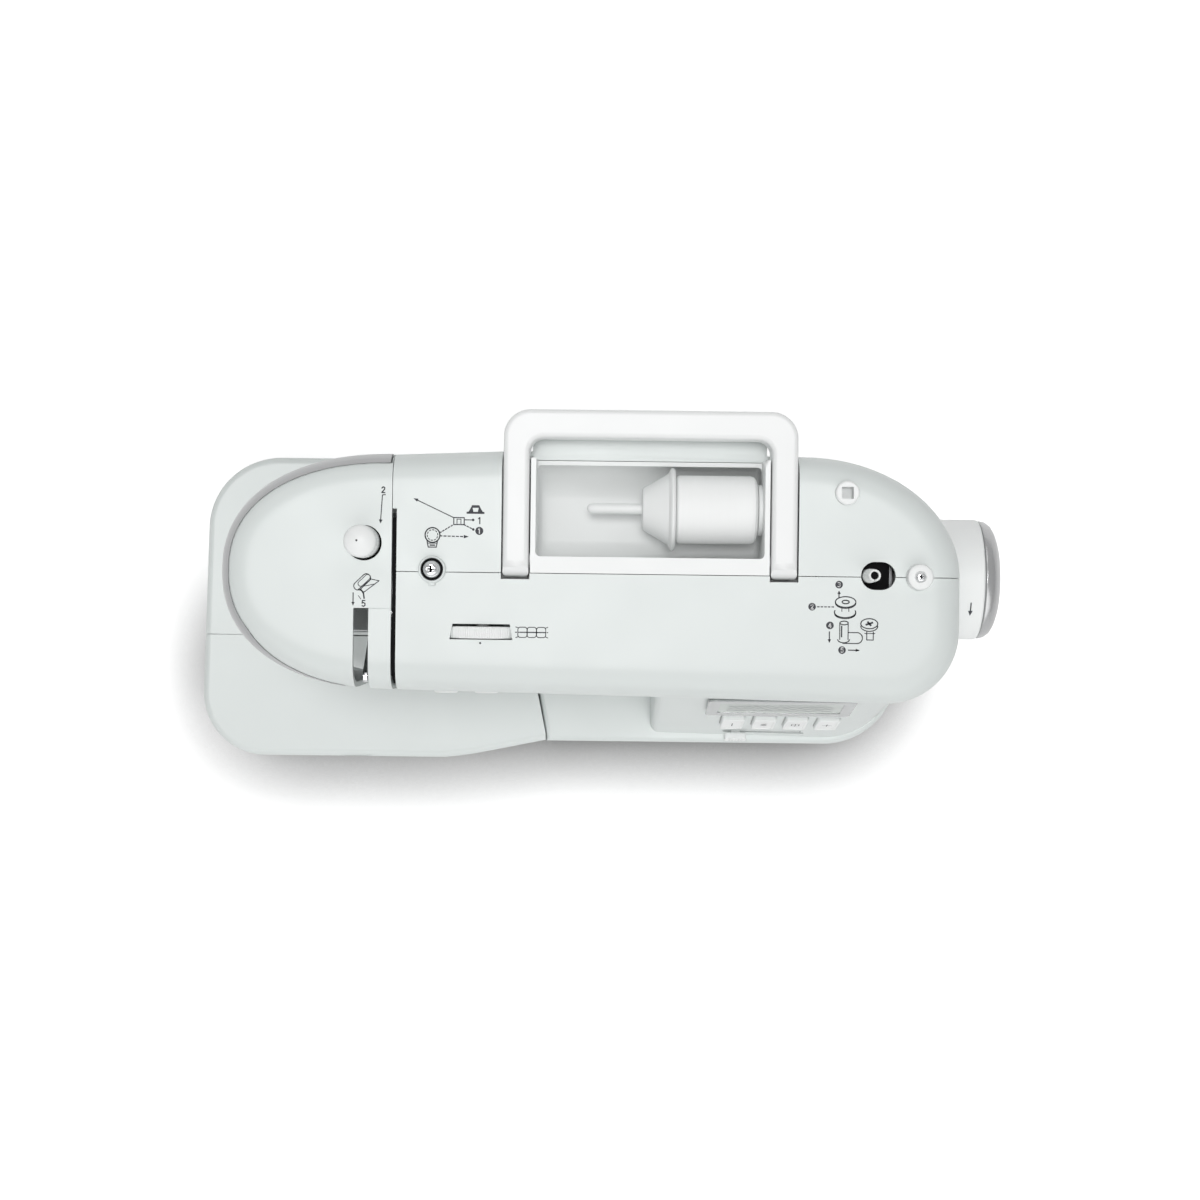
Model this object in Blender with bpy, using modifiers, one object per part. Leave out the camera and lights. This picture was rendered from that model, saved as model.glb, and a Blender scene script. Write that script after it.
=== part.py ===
"""Free-arm household sewing machine, built as separate pieces on their real seats.

The origin is under the middle of the machine: +X runs to the handwheel, +Y to the rear, +Z up.
Sizes below are in millimetres, and MM turns them into metres when a mesh is made.
"""
import math

import bmesh
import bpy
from mathutils import Matrix, Vector

MM = 0.001
GAP = 0.3          # clearance between pieces that lie against each other
FAR = 400.0        # reach of a cutter that goes right past the machine

# Upper body seen from above: a D-shaped head at the left, round corners at the right.
SEAM_Y = 13.0
HEAD_X = -80.0
HEAD_LENGTH = 86.0
HEAD_HALF_DEPTH = 55.0
RIGHT_X = 184.0
ARM_FRONT_Y = -46.0
FRONT_CORNER = 34.0
REAR_CORNER_LENGTH = 72.0
REAR_CORNER_DEPTH = 56.0
REAR_CROWN = (16.0, 72.0)
ARM_TOP = 284.0
ARM_BOTTOM = 190.0
HEAD_BOTTOM = 140.0
HARP_LEFT = -72.0
COLUMN_LEFT = 45.0
WALL = 2.5
TOP_EDGE = ((22.0, 0.0), (14.0, 1.2), (7.0, 4.5), (2.5, 9.5), (0.0, 16.0))   # drop, inset

# Column, whose front leans back from the bed to the arm.
COLUMN_STEP = 0.3
COLUMN_TOP_FRONT = ARM_FRONT_Y - 0.4
COLUMN_LEAN = 0.238
COLUMN_SKEW = 1.8
COLUMN_REAR_Y = 70.7
COLUMN_FOOT_CORNER = 42.0

# Base, bed and free arm.
BED_Z = 72.0
BASE_FRONT_Y = -78.5
BASE_REAR_Y = 78.0
BASE_LEFT_X = -18.0
BASE_BOTTOM = 9.3
BASE_REAR_CORNER = (60.0, 50.0)
BED_FRONT_Y = -88.5
BED_LEFT_X = -206.5
FREE_ARM_LEFT = -178.0
FREE_ARM_FRONT = -20.5
FREE_ARM_REAR = 46.0
FREE_ARM_BOTTOM = 26.0
FREE_ARM_WALL = 2.2
SLIDE_GAP = 0.4
FOOT_RADIUS = 9.0
FOOT_HEIGHT = 4.7
BASE_PLATE = (5.0, 9.0)
BASE_PLATE_LEFT = -172.0

# Needle line, plates and hook.
NEEDLE_X = -94.0
NEEDLE_Y = 14.0
NEEDLE_BAR_RADIUS = 3.2
PRESSER_Y = 28.0
PRESSER_BAR_RADIUS = 3.0
BAR_TOP = ARM_TOP - 22.0
BORE_GAP = 0.4
PLATE_THICKNESS = 2.0
PLATE_X = (-127.7, -60.3)
PLATE_Y = (-18.0, 41.7)
COVER_X = (-112.0, -76.0)
COVER_REAR_Y = 2.7
RAIL_WIDTH = 3.0
RAIL_INNER = 6.0
RAIL_Y = (8.0, 36.0)
FEED_STROKE = 2.5
HOOK_Y = -2.0
HOOK_RADIUS = 15.0
CASE_RADIUS = 13.5
BOBBIN_RADIUS = 10.2
BOBBIN_HEIGHT = 11.5

# Shafts, belts and handwheel.
SHAFT_Y = SEAM_Y
SHAFT_Z = ARM_TOP - 52.0
SHAFT_RADIUS = 5.0
LOWER_SHAFT_Z = BED_Z - 32.0
LOWER_SHAFT_RADIUS = 4.0
GEAR_RADIUS = 9.7
CRANK_RADIUS = 15.0
TIMING_X = (111.0, 117.0)
TIMING_RADIUS = 12.0
BELT_THICKNESS = 1.4
HAND_X = RIGHT_X + 1.0
HAND_RADIUS = 29.0
HAND_WIDTH = 12.7
HUB_RADIUS = 10.0
PULLEY_RADIUS = 24.0
PULLEY_X = (153.0, 163.0)
MOTOR_Y = -32.0
MOTOR_Z = 52.0
MOTOR_RADIUS = 22.0
MOTOR_X = (90.0, 148.0)
MOTOR_PULLEY_RADIUS = 7.0

# Thread path on top of the arm.
TAKE_UP_PIVOT = (-6.0, ARM_TOP - 68.0)
TAKE_UP_TIP = (-36.0, ARM_TOP - 24.0)
TAKE_UP_HALF = 1.2
SLOT_BOTTOM = ARM_TOP - 119.0
THREAD_SLOT_WIDTH = 2.1
DIAL_X = -38.8
DIAL_Y = (-17.4, -11.9)
DIAL_RADIUS = 21.5
DIAL_Z = ARM_TOP - 19.0
DIAL_MARGINS = (0.4, 1.2)     # slot clearance before and behind the dial
DIAL_SLOT_HALF = math.sqrt(DIAL_RADIUS ** 2 - (ARM_TOP - WALL - DIAL_Z) ** 2) + 0.5
PRESSURE = (NEEDLE_X + 0.6, PRESSER_Y - 1.5)
PRESSURE_RADIUS = 7.5
PRESSURE_HEIGHT = 13.7
TENSION_POST = (-61.4, 14.2)
WINDER = (140.0, 13.6)
WINDER_TRAVEL = 8.0
WINDER_SLOT_HALF = 6.45
BOBBIN_STOP = (162.6, 13.3)
SOCKET = (129.2, 51.6)
SOCKET_RADIUS = 4.4

# Spool tray and carrying handle.
TRAY_X = (-16.4, 93.8)
TRAY_WALL = 2.0
TRAY_FRONT_Y = 20.8
TRAY_REAR_Y = 66.2
TRAY_FLOOR_Z = ARM_TOP - 47.3
TRAY_LOW_EDGE = ARM_TOP - 22.0
HANDLE_GAP = 0.7
HANDLE_WIDTH = 12.0
HANDLE_TOP = ARM_TOP + 2.0
HANDLE_HALF = 9.0
HANDLE_PIVOT_Y = 19.5
HANDLE_PIVOT_Z = HANDLE_TOP - HANDLE_HALF
HANDLE_REAR_Y = 88.5
HANDLE_X = (TRAY_X[0] - HANDLE_GAP - HANDLE_WIDTH, TRAY_X[1] + HANDLE_GAP + HANDLE_WIDTH)
WELL_X = (HANDLE_X[0] - HANDLE_GAP, HANDLE_X[1] + HANDLE_GAP)
WELL_FRONT_Y = HANDLE_PIVOT_Y - HANDLE_HALF - 0.9
HANDLE_REST_Y = 79.0
HANDLE_BAR = 13.0
TRUNNION_RADIUS = 3.0
SPOOL_AXIS = (44.0, ARM_TOP - 22.0)
PIN_RADIUS = 2.6
SPOOL_RADIUS = 16.0
SPOOL_X = (51.0, 89.2)
CAP_RADIUS = 19.4

# Controls on the front and the right.
KEY_HALF_WIDTH = 6.0
KEY_HALF_LENGTH = 13.0
KEY_FIRST_X = 88.0
KEY_PITCH = 17.0
DISPLAY_X = (72.0, 148.0)
DISPLAY_Z = ARM_BOTTOM - 28.0
DISPLAY_HALF = 20.0
SLIDER_Z = BED_Z + 10.0
KEY_Z = (DISPLAY_Z + SLIDER_Z) / 2 - 4.0
SLIDER_X = (85.0, 130.0)
SLIDER_TRAVEL = 32.0
BUTTON_RADIUS = 6.0
BUTTON_Z = ARM_BOTTOM + 15.0
SWITCH_Y = (-4.0, 8.0)
SWITCH_Z = (34.0, 54.0)
INLET_Y = (-34.0, -12.0)

# Accessory table: a tray round the free arm, with a hinged front lid.
TABLE_WALL = 2.2
TABLE_BOTTOM = 8.0
LID_SPLIT_Y = FREE_ARM_FRONT - SLIDE_GAP
LID_BOTTOM = 12.0
LID_HINGE = (-84.5, 12.5)
LID_FLOOR_INSET = 5.6

COLOURS = {                       # base colour, roughness, metallic
    "body_white": ((0.80, 0.81, 0.80, 1), 0.38, 0.0),
    "soft_white": ((0.72, 0.73, 0.73, 1), 0.45, 0.0),
    "silver_trim": ((0.55, 0.56, 0.58, 1), 0.28, 1.0),
    "steel": ((0.60, 0.61, 0.62, 1), 0.25, 1.0),
    "cast_metal": ((0.35, 0.36, 0.37, 1), 0.50, 0.9),
    "black_plastic": ((0.03, 0.03, 0.03, 1), 0.40, 0.0),
    "rubber": ((0.05, 0.05, 0.05, 1), 0.85, 0.0),
    "display_grey": ((0.22, 0.26, 0.26, 1), 0.15, 0.0),
    "lens": ((0.85, 0.85, 0.80, 1), 0.20, 0.0),
    "thread_white": ((0.78, 0.78, 0.76, 1), 0.80, 0.0),
}

for leftover in list(bpy.data.objects):
    bpy.data.objects.remove(leftover)

parts = bpy.data.collections.new("sewing_machine")
cutters = bpy.data.collections.new("cutters")
bpy.context.scene.collection.children.link(parts)
bpy.context.scene.collection.children.link(cutters)


# ---------------------------------------------------------------- modelling helpers

def make_material(name):
    colour, roughness, metallic = COLOURS[name]
    material = bpy.data.materials.new(name)
    material.use_nodes = True
    shader = material.node_tree.nodes["Principled BSDF"]
    shader.inputs["Base Color"].default_value = colour
    shader.inputs["Roughness"].default_value = roughness
    shader.inputs["Metallic"].default_value = metallic
    return material


materials = {name: make_material(name) for name in COLOURS}

# Turns a shape made along Z so that it lies along the named axis.
LAY_ALONG = {
    "X": Matrix.Rotation(math.pi / 2, 4, "Y"),
    "Y": Matrix.Rotation(-math.pi / 2, 4, "X"),
    "Z": Matrix.Identity(4),
}


def at(axis, across, along):
    """A point in metres from its two coordinates across an axis and the one along it."""
    if axis == "X":
        return Vector((along, across[0], across[1])) * MM
    if axis == "Y":
        return Vector((across[0], along, across[1])) * MM
    return Vector((across[0], across[1], along)) * MM


def helper(name, mesh):
    """A new object that only shapes others, until part() makes it a piece of the machine."""
    obj = bpy.data.objects.new(name, mesh)
    obj.display_type = "WIRE"
    obj.hide_render = True
    cutters.objects.link(obj)
    return obj


def from_bmesh(name, bm):
    mesh = bpy.data.meshes.new(name)
    bm.to_mesh(mesh)
    bm.free()
    return helper(name, mesh)


def part(obj, material, pivot=None):
    """Makes obj a piece of the machine, with its origin on its joint's axis if it moves."""
    cutters.objects.unlink(obj)
    parts.objects.link(obj)
    obj.display_type = "TEXTURED"
    obj.hide_render = False
    obj.data.materials.append(materials[material])
    obj.data.shade_smooth()
    obj.data.set_sharp_from_angle(angle=math.radians(30))
    if pivot is not None:
        origin = Vector(pivot) * MM
        obj.data.transform(Matrix.Translation(-origin))
        obj.location = origin
    return obj


def boolean(target, operation, tools):
    for tool in tools:
        modifier = target.modifiers.new(tool.name, "BOOLEAN")
        modifier.operation = operation
        modifier.object = tool
    return target


def cut(target, *tools):
    return boolean(target, "DIFFERENCE", tools)


def add(target, *tools):
    return boolean(target, "UNION", tools)


def box(name, xs, ys, zs):
    bm = bmesh.new()
    bmesh.ops.create_cube(bm, size=1.0)
    size = Vector((xs[1] - xs[0], ys[1] - ys[0], zs[1] - zs[0])) * MM
    middle = Vector((sum(xs), sum(ys), sum(zs))) * MM / 2
    bmesh.ops.scale(bm, vec=size, verts=bm.verts)
    bmesh.ops.translate(bm, vec=middle, verts=bm.verts)
    return from_bmesh(name, bm)


def cylinder(name, axis, radius, across, low, high, segments=24):
    bm = bmesh.new()
    place = Matrix.Translation(at(axis, across, (low + high) / 2)) @ LAY_ALONG[axis]
    bmesh.ops.create_cone(bm, cap_ends=True, segments=segments, radius1=radius * MM,
                          radius2=radius * MM, depth=(high - low) * MM, matrix=place)
    return from_bmesh(name, bm)


def turned(name, axis, across, profile, steps=32, ring=False):
    """A turned piece. The profile lists (radius, place along the axis) down its outer side."""
    mesh = bpy.data.meshes.new(name)
    points = [(radius * MM, 0.0, along * MM) for radius, along in profile]
    edges = [(i, i + 1) for i in range(len(points) - 1)]
    if ring:
        edges.append((len(points) - 1, 0))
    mesh.from_pydata(points, edges, [])
    obj = helper(name, mesh)
    obj.matrix_world = Matrix.Translation(at(axis, across, 0.0)) @ LAY_ALONG[axis]
    screw = obj.modifiers.new("turn", "SCREW")
    screw.steps = steps
    screw.render_steps = steps
    screw.use_merge_vertices = True
    screw.merge_threshold = 0.00001
    return obj


def arc(cx, cy, rx, ry, start, end, steps):
    """Points of an elliptical arc, with its angles in degrees."""
    points = []
    for i in range(steps + 1):
        angle = math.radians(start + (end - start) * i / steps)
        points.append((cx + rx * math.cos(angle), cy + ry * math.sin(angle)))
    return points


def plate(name, axis, outline, low, high):
    """A flat outline with a thickness along an axis, drawn as a filled curve and made a mesh."""
    data = bpy.data.curves.new(name, "CURVE")
    data.dimensions = "2D"
    data.fill_mode = "BOTH"
    data.extrude = (high - low) * MM / 2
    spline = data.splines.new("POLY")
    spline.points.add(len(outline) - 1)
    for point, (u, v) in zip(spline.points, outline):
        point.co = (u * MM, v * MM, 0.0, 1.0)
    spline.use_cyclic_u = True
    curve = bpy.data.objects.new(name + "_curve", data)
    cutters.objects.link(curve)
    frame = {
        "X": Matrix(((0, 0, 1, 0), (1, 0, 0, 0), (0, 1, 0, 0), (0, 0, 0, 1))),
        "Y": Matrix(((1, 0, 0, 0), (0, 0, -1, 0), (0, 1, 0, 0), (0, 0, 0, 1))),
        "Z": Matrix.Identity(4),
    }[axis]
    depsgraph = bpy.context.evaluated_depsgraph_get()
    mesh = bpy.data.meshes.new_from_object(curve.evaluated_get(depsgraph))
    bpy.data.objects.remove(curve)
    bm = bmesh.new()
    bm.from_mesh(mesh)
    bmesh.ops.remove_doubles(bm, verts=bm.verts, dist=0.00001)
    bm.transform(Matrix.Translation(at(axis, (0, 0), (low + high) / 2)) @ frame)
    bpy.data.meshes.remove(mesh)
    return from_bmesh(name, bm)


def loft(name, rings):
    """A closed solid through rings of equally many points in metres, with flat ends."""
    bm = bmesh.new()
    loops = [[bm.verts.new(point) for point in ring] for ring in rings]
    count = len(loops[0])
    for low, high in zip(loops, loops[1:]):
        for i in range(count):
            j = (i + 1) % count
            bm.faces.new((low[i], low[j], high[j], high[i]))
    bm.faces.new(list(reversed(loops[0])))
    bm.faces.new(loops[-1])
    bmesh.ops.recalc_face_normals(bm, faces=bm.faces)
    return from_bmesh(name, bm)


def levels(outline, steps):
    """Rings of an outline at each (height, inset)."""
    return [[at("Z", point, z) for point in outline(inset)] for z, inset in steps]


def capsule(a, b, ra, rb, steps=10):
    """The outline round two discs and the straight tangents between them."""
    base = math.degrees(math.atan2(b[1] - a[1], b[0] - a[0]))
    spread = math.degrees(math.acos((ra - rb) / math.dist(a, b)))
    return (arc(a[0], a[1], ra, ra, base + spread, base + 360 - spread, steps)
            + arc(b[0], b[1], rb, rb, base - spread, base + spread, steps))


# ---------------------------------------------------------------- the body's outlines

def arm_outline(inset):
    """The arm and head from above."""
    right = RIGHT_X - inset
    corner = FRONT_CORNER - inset
    head = arc(HEAD_X, SEAM_Y, HEAD_LENGTH - inset, HEAD_HALF_DEPTH - inset, 90, 270, 20)
    front = arc(right - corner, ARM_FRONT_Y + inset + corner, corner, corner, 270, 360, 7)
    rear = arc(RIGHT_X - REAR_CORNER_LENGTH, SEAM_Y, REAR_CORNER_LENGTH - inset,
               REAR_CORNER_DEPTH - inset, 0, 90, 10)
    return head + front + rear + [(REAR_CROWN[0], REAR_CROWN[1] - inset)]


def column_front(z):
    """Where the leaning front of the column stands at a height."""
    return COLUMN_TOP_FRONT - (ARM_BOTTOM - z) * COLUMN_LEAN


def column_ring(z, inset):
    share = (ARM_BOTTOM - z) / (ARM_BOTTOM - BED_Z)
    corner = FRONT_CORNER + (COLUMN_FOOT_CORNER - FRONT_CORNER) * share - inset
    front = column_front(z) + inset
    right = RIGHT_X - COLUMN_STEP - inset
    centre_x = RIGHT_X - REAR_CORNER_LENGTH
    outline = [(COLUMN_LEFT + inset, front + COLUMN_SKEW)]
    outline += arc(right - corner, front + corner, corner, corner, 270, 360, 7)
    outline += arc(centre_x, SEAM_Y, right - centre_x, REAR_CORNER_DEPTH - COLUMN_STEP - inset, 0, 90, 8)
    outline.append((COLUMN_LEFT + inset, COLUMN_REAR_Y - inset))
    return [at("Z", point, z) for point in outline]


def base_corners(inset):
    """The base from its front left corner round the right to its rear left corner."""
    corner = COLUMN_FOOT_CORNER - inset
    rear_x, rear_y = BASE_REAR_CORNER
    outline = [(BASE_LEFT_X + inset, -50.0), (BASE_LEFT_X + 5.0 + inset, BASE_FRONT_Y + inset)]
    outline += arc(RIGHT_X - COLUMN_FOOT_CORNER, BASE_FRONT_Y + COLUMN_FOOT_CORNER, corner, corner, 270,
                   360, 7)
    outline += arc(RIGHT_X - rear_x, BASE_REAR_Y - rear_y, rear_x - inset, rear_y - inset, 0, 90, 8)
    outline.append((BASE_LEFT_X + inset, BASE_REAR_Y - inset))
    return outline


def bed_outline(inset, end=0.0):
    """The accessory table from above, whose right end can be moved along X."""
    seam = BASE_LEFT_X - SLIDE_GAP + end
    outline = arc(BED_LEFT_X + 35.0, BED_FRONT_Y + 35.0, 35.0 - inset, 35.0 - inset, 180, 270, 8)
    outline += [(-70.0, BED_FRONT_Y + inset), (-47.0, -85.0 + inset)]
    outline += [(seam + 5.0, BASE_FRONT_Y + 0.3 + inset), (seam, -50.0)]
    outline.append((seam, BASE_REAR_Y - inset))
    outline += arc(BED_LEFT_X + 42.5, BASE_REAR_Y - 40.0, 40.5 - inset, 40.0 - inset, 90, 180, 8)
    return outline


# ---------------------------------------------------------------- covers

def upper_body(name, wall=0.0, below=0.0):
    """Arm and head as one solid, drawn in by wall, with the harp space cut away."""
    steps = [(HEAD_BOTTOM - below, wall)]
    steps += [(ARM_TOP - wall - drop, wall + inset) for drop, inset in TOP_EDGE]
    body = loft(name, levels(arm_outline, steps))
    harp = box(name + "_harp", (HARP_LEFT - wall, FAR), (-FAR, FAR), (0, ARM_BOTTOM + wall))
    return cut(body, harp)


def column_body(name, wall=0.0):
    heights = (BED_Z - 12.0, ARM_BOTTOM, ARM_BOTTOM + 8.0)
    return loft(name, [column_ring(z, wall) for z in heights])


def base_body(name, wall=0.0, below=0.0):
    steps = ((BASE_BOTTOM - below, wall), (BED_Z - 6.0 - wall, wall),
             (BED_Z - 2.0 - wall, wall + 1.5), (BED_Z - wall, wall + 3.0))
    return loft(name, levels(base_corners, steps))


def hollow_body(name, inner):
    """A fresh copy of the whole hollow body, which one cover then keeps its share of."""
    body = upper_body(name)
    add(body, column_body(name + "_column"), base_body(name + "_base"))
    return cut(body, *inner)


def make_covers():
    """Front cover, rear cover and face cover, parted at the seam and at the threading slot."""
    inner = (upper_body("inside_arm", WALL, 5.0), column_body("inside_column", WALL),
             base_body("inside_base", WALL, 5.0))
    half = GAP / 2
    head_part = box("head_part_cut", (-FAR, HEAD_X + half), (-FAR, FAR), (0, FAR))
    thread_slot = box("threading_slot", (HEAD_X, HEAD_X + THREAD_SLOT_WIDTH), (-60, 42), (SLOT_BOTTOM, FAR))
    arm_mouth = box("free_arm_mouth", (BASE_LEFT_X - 2, BASE_LEFT_X + 8),
                    (FREE_ARM_FRONT + FREE_ARM_WALL, FREE_ARM_REAR - FREE_ARM_WALL),
                    (FREE_ARM_BOTTOM + FREE_ARM_WALL, BED_Z - FREE_ARM_WALL))
    hub_hole = cylinder("hub_hole", "X", HUB_RADIUS + 1, (SHAFT_Y, SHAFT_Z), RIGHT_X - 8, RIGHT_X + 8)
    winder_hole = plate("winder_slot", "Z", winder_slot_outline(), ARM_TOP - 8, ARM_TOP + 4)
    shared = (head_part, thread_slot, arm_mouth, hub_hole, winder_hole)

    front = hollow_body("front_cover", inner)
    cut(front, box("front_seam_cut", (-FAR, FAR), (SEAM_Y - half, FAR), (0, FAR)), *shared)
    cut(front, *arm_end_notches())
    cut(front, box("dial_slot", (DIAL_X - DIAL_SLOT_HALF, DIAL_X + DIAL_SLOT_HALF),
                   (DIAL_Y[0] - DIAL_MARGINS[0], DIAL_Y[1] + DIAL_MARGINS[1]), (ARM_TOP - 8, ARM_TOP + 4)))
    cut(front, *button_holes(), *panel_holes(), *right_wall_holes())
    part(front, "body_white")

    rear = hollow_body("rear_cover", inner)
    cut(rear, box("rear_seam_cut", (-FAR, FAR), (-FAR, SEAM_Y + half), (0, FAR)), *shared)
    rest = box("handle_rest", (TRAY_X[0], TRAY_X[1]), (TRAY_REAR_Y + GAP, HANDLE_REST_Y),
               (TRAY_LOW_EDGE - 4.5, TRAY_LOW_EDGE - 0.8))
    add(cut(rear, handle_well()), rest)
    cut(rear, cylinder("socket_hole", "Z", SOCKET_RADIUS + GAP, SOCKET, ARM_TOP - 9, ARM_TOP + 4))
    part(rear, "body_white")

    face = hollow_body("face_cover", inner)
    cut(face, box("face_part_cut", (HEAD_X - half, FAR), (-FAR, FAR), (0, FAR)))
    cut(face, box("take_up_slot", (NEEDLE_X - 3.5, NEEDLE_X + 3.5), (-FAR, -4), (SLOT_BOTTOM, FAR)))
    cut(face, box("lever_notch", (NEEDLE_X - 7, NEEDLE_X + 11), (50, FAR), (0, HEAD_BOTTOM + 36)))
    cut(face, cylinder("pressure_hole", "Z", 3.4, PRESSURE, ARM_TOP - 8,
                       ARM_TOP + 4))
    cut(face, trim_band("trim_groove", GAP))
    part(face, "body_white")


def trim_band(name, margin=0.0):
    """The bright band along the head's round edge, tapering to nothing at the front."""
    rings = []
    angles = [91.0 - margin * 2] + [90.0 + 9.0 * i for i in range(1, 19)] + [255.0 + margin * 2]
    for i, degrees in enumerate(angles):
        angle = math.radians(degrees)
        taper = min(1.0, (len(angles) - 1 - i) / 8.0 + 0.35)
        corners = ((-0.4 - margin, -20.0), (4.2 * taper, -20.0 + 12.8 * taper + margin),
                   (5.6 * taper + margin, -21.2 + 12.8 * taper), (1.0 + margin, -21.2 - margin))
        ring = []
        for inset, drop in corners:
            x = HEAD_X + (HEAD_LENGTH - inset) * math.cos(angle)
            y = SEAM_Y + (HEAD_HALF_DEPTH - inset) * math.sin(angle)
            ring.append(at("Z", (x, y), ARM_TOP + drop))
        rings.append(ring)
    return loft(name, rings)


def make_trim():
    part(trim_band("face_trim"), "silver_trim")


# ---------------------------------------------------------------- openings in the covers

def winder_slot_outline():
    left = WINDER[0] - 4.0 + WINDER_SLOT_HALF
    right = left + 3.1
    return (arc(right, WINDER[1], WINDER_SLOT_HALF, WINDER_SLOT_HALF, -90, 90, 10)
            + arc(left, WINDER[1], WINDER_SLOT_HALF, WINDER_SLOT_HALF, 90, 270, 10))


def handle_well():
    return box("handle_well", WELL_X, (WELL_FRONT_Y, FAR), (TRAY_LOW_EDGE - 0.5, FAR))


def arm_end_notches():
    """Notches in the front cover for the round ends of the carrying handle's arms."""
    spans = ((WELL_X[0], TRAY_X[0] - 0.2), (TRAY_X[1] + 0.2, WELL_X[1]))
    return [box(f"arm_notch_{i}", span, (WELL_FRONT_Y, FAR), (TRAY_LOW_EDGE, FAR))
            for i, span in enumerate(spans)]


def button_places():
    return {"reverse_button": NEEDLE_X + 34.0, "start_button": NEEDLE_X + 54.0}


def button_holes():
    return [cylinder(name + "_hole", "Y", BUTTON_RADIUS + 0.4, (x, BUTTON_Z), ARM_FRONT_Y - 4,
                     ARM_FRONT_Y + 10)
            for name, x in button_places().items()]


def panel_box(name, xs, middle_z, half_length, outs):
    """A box that lies along the column's leaning front; outs is its span out from the face."""
    shape = box(name, xs, (-half_length, half_length), outs)
    lean = math.atan(COLUMN_LEAN)
    place = Matrix.Translation(at("Z", (0, column_front(middle_z)), middle_z))
    shape.data.transform(place @ Matrix.Rotation(math.pi / 2 - lean, 4, "X"))
    return shape


def key_places():
    return {f"pattern_key_{i + 1}": KEY_FIRST_X + KEY_PITCH * i for i in range(4)}


def panel_holes():
    """Holes in the column's front for the keys and the speed slider."""
    reach = (-WALL - 3, 3)
    holes = [panel_box(name + "_hole", (x - KEY_HALF_WIDTH - 0.4, x + KEY_HALF_WIDTH + 0.4),
                       KEY_Z, KEY_HALF_LENGTH + 0.5, reach)
             for name, x in key_places().items()]
    holes.append(panel_box("slider_slot", (SLIDER_X[0], SLIDER_X[1]), SLIDER_Z, 2.4, reach))
    return holes


def right_wall_holes():
    """Holes low in the right wall for the power switch and the mains inlet."""
    spans = (("switch_hole", SWITCH_Y, SWITCH_Z), ("inlet_hole", INLET_Y, (SWITCH_Z[0] + 1, SWITCH_Z[1] - 1)))
    return [box(name, (RIGHT_X - 8, RIGHT_X + 4), (ys[0] - 0.4, ys[1] + 0.4), (zs[0] - 0.5, zs[1] + 0.5))
            for name, ys, zs in spans]


# ---------------------------------------------------------------- base and free arm

def make_base_plate():
    corners = base_corners(3.0)
    left = corners[0][0]
    tongue = [(left, FREE_ARM_REAR - 2), (BASE_PLATE_LEFT, FREE_ARM_REAR - 2),
              (BASE_PLATE_LEFT, FREE_ARM_FRONT + 2.5), (left, FREE_ARM_FRONT + 2.5)]
    part(plate("base_plate", "Z", tongue + corners, *BASE_PLATE), "soft_white")


def make_feet():
    places = ((BASE_PLATE_LEFT + 12, -8), (BASE_PLATE_LEFT + 12, 34), (RIGHT_X - 24, -50), (RIGHT_X - 34, 55))
    profile = ((0, FOOT_HEIGHT), (FOOT_RADIUS, FOOT_HEIGHT), (FOOT_RADIUS, 1.2), (FOOT_RADIUS - 1.2, 0),
               (0, 0))
    for i, place in enumerate(places):
        part(turned(f"foot_{i + 1}", "Z", place, profile, 20), "rubber")


def free_arm_outline(inset):
    corner = 14.0 - inset
    left = FREE_ARM_LEFT + inset
    front = FREE_ARM_FRONT + inset
    rear = FREE_ARM_REAR - inset
    right = BASE_LEFT_X - GAP + inset * 4      # the inside runs out through the right end
    return (arc(left + corner, front + corner, corner, corner, 180, 270, 6)
            + [(right, front), (right, rear)]
            + arc(left + corner, rear - corner, corner, corner, 90, 180, 6))


def make_free_arm():
    wall = FREE_ARM_WALL
    arm = loft("free_arm", levels(free_arm_outline, ((FREE_ARM_BOTTOM, 0), (BED_Z, 0))))
    cut(arm, loft("free_arm_inside", levels(free_arm_outline,
                                            ((FREE_ARM_BOTTOM + wall, wall), (BED_Z - wall, wall)))))
    cut(arm, box("plate_pocket", (PLATE_X[0] - GAP, PLATE_X[1] + GAP),
                 (PLATE_Y[0] - GAP, PLATE_Y[1] + GAP), (BED_Z - 8, BED_Z + 4)))
    part(arm, "body_white")


def make_needle_plate():
    low = BED_Z - PLATE_THICKNESS
    needle_plate = box("needle_plate", PLATE_X, PLATE_Y, (low, BED_Z))
    through = (low - 2, BED_Z + 2)
    cut(needle_plate, box("cover_opening", (COVER_X[0] - GAP, COVER_X[1] + GAP),
                          (-FAR, COVER_REAR_Y + GAP), through))
    reach = FEED_STROKE + 0.3
    for side, x in (("left", NEEDLE_X - RAIL_INNER - RAIL_WIDTH), ("right", NEEDLE_X + RAIL_INNER)):
        cut(needle_plate, box(f"feed_slot_{side}", (x - 0.5, x + RAIL_WIDTH + 0.5),
                              (RAIL_Y[0] - reach, RAIL_Y[1] + reach), through))
    cut(needle_plate, box("needle_slot", (NEEDLE_X - 3.5, NEEDLE_X + 3.5),
                          (NEEDLE_Y - 1.1, NEEDLE_Y + 1.2), through))
    part(needle_plate, "steel")


def make_bobbin_cover():
    cover = box("bobbin_cover", COVER_X, (PLATE_Y[0], COVER_REAR_Y), (BED_Z - PLATE_THICKNESS, BED_Z))
    part(cover, "lens", pivot=(NEEDLE_X, HOOK_Y, BED_Z))


# ---------------------------------------------------------------- sewing head

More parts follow.
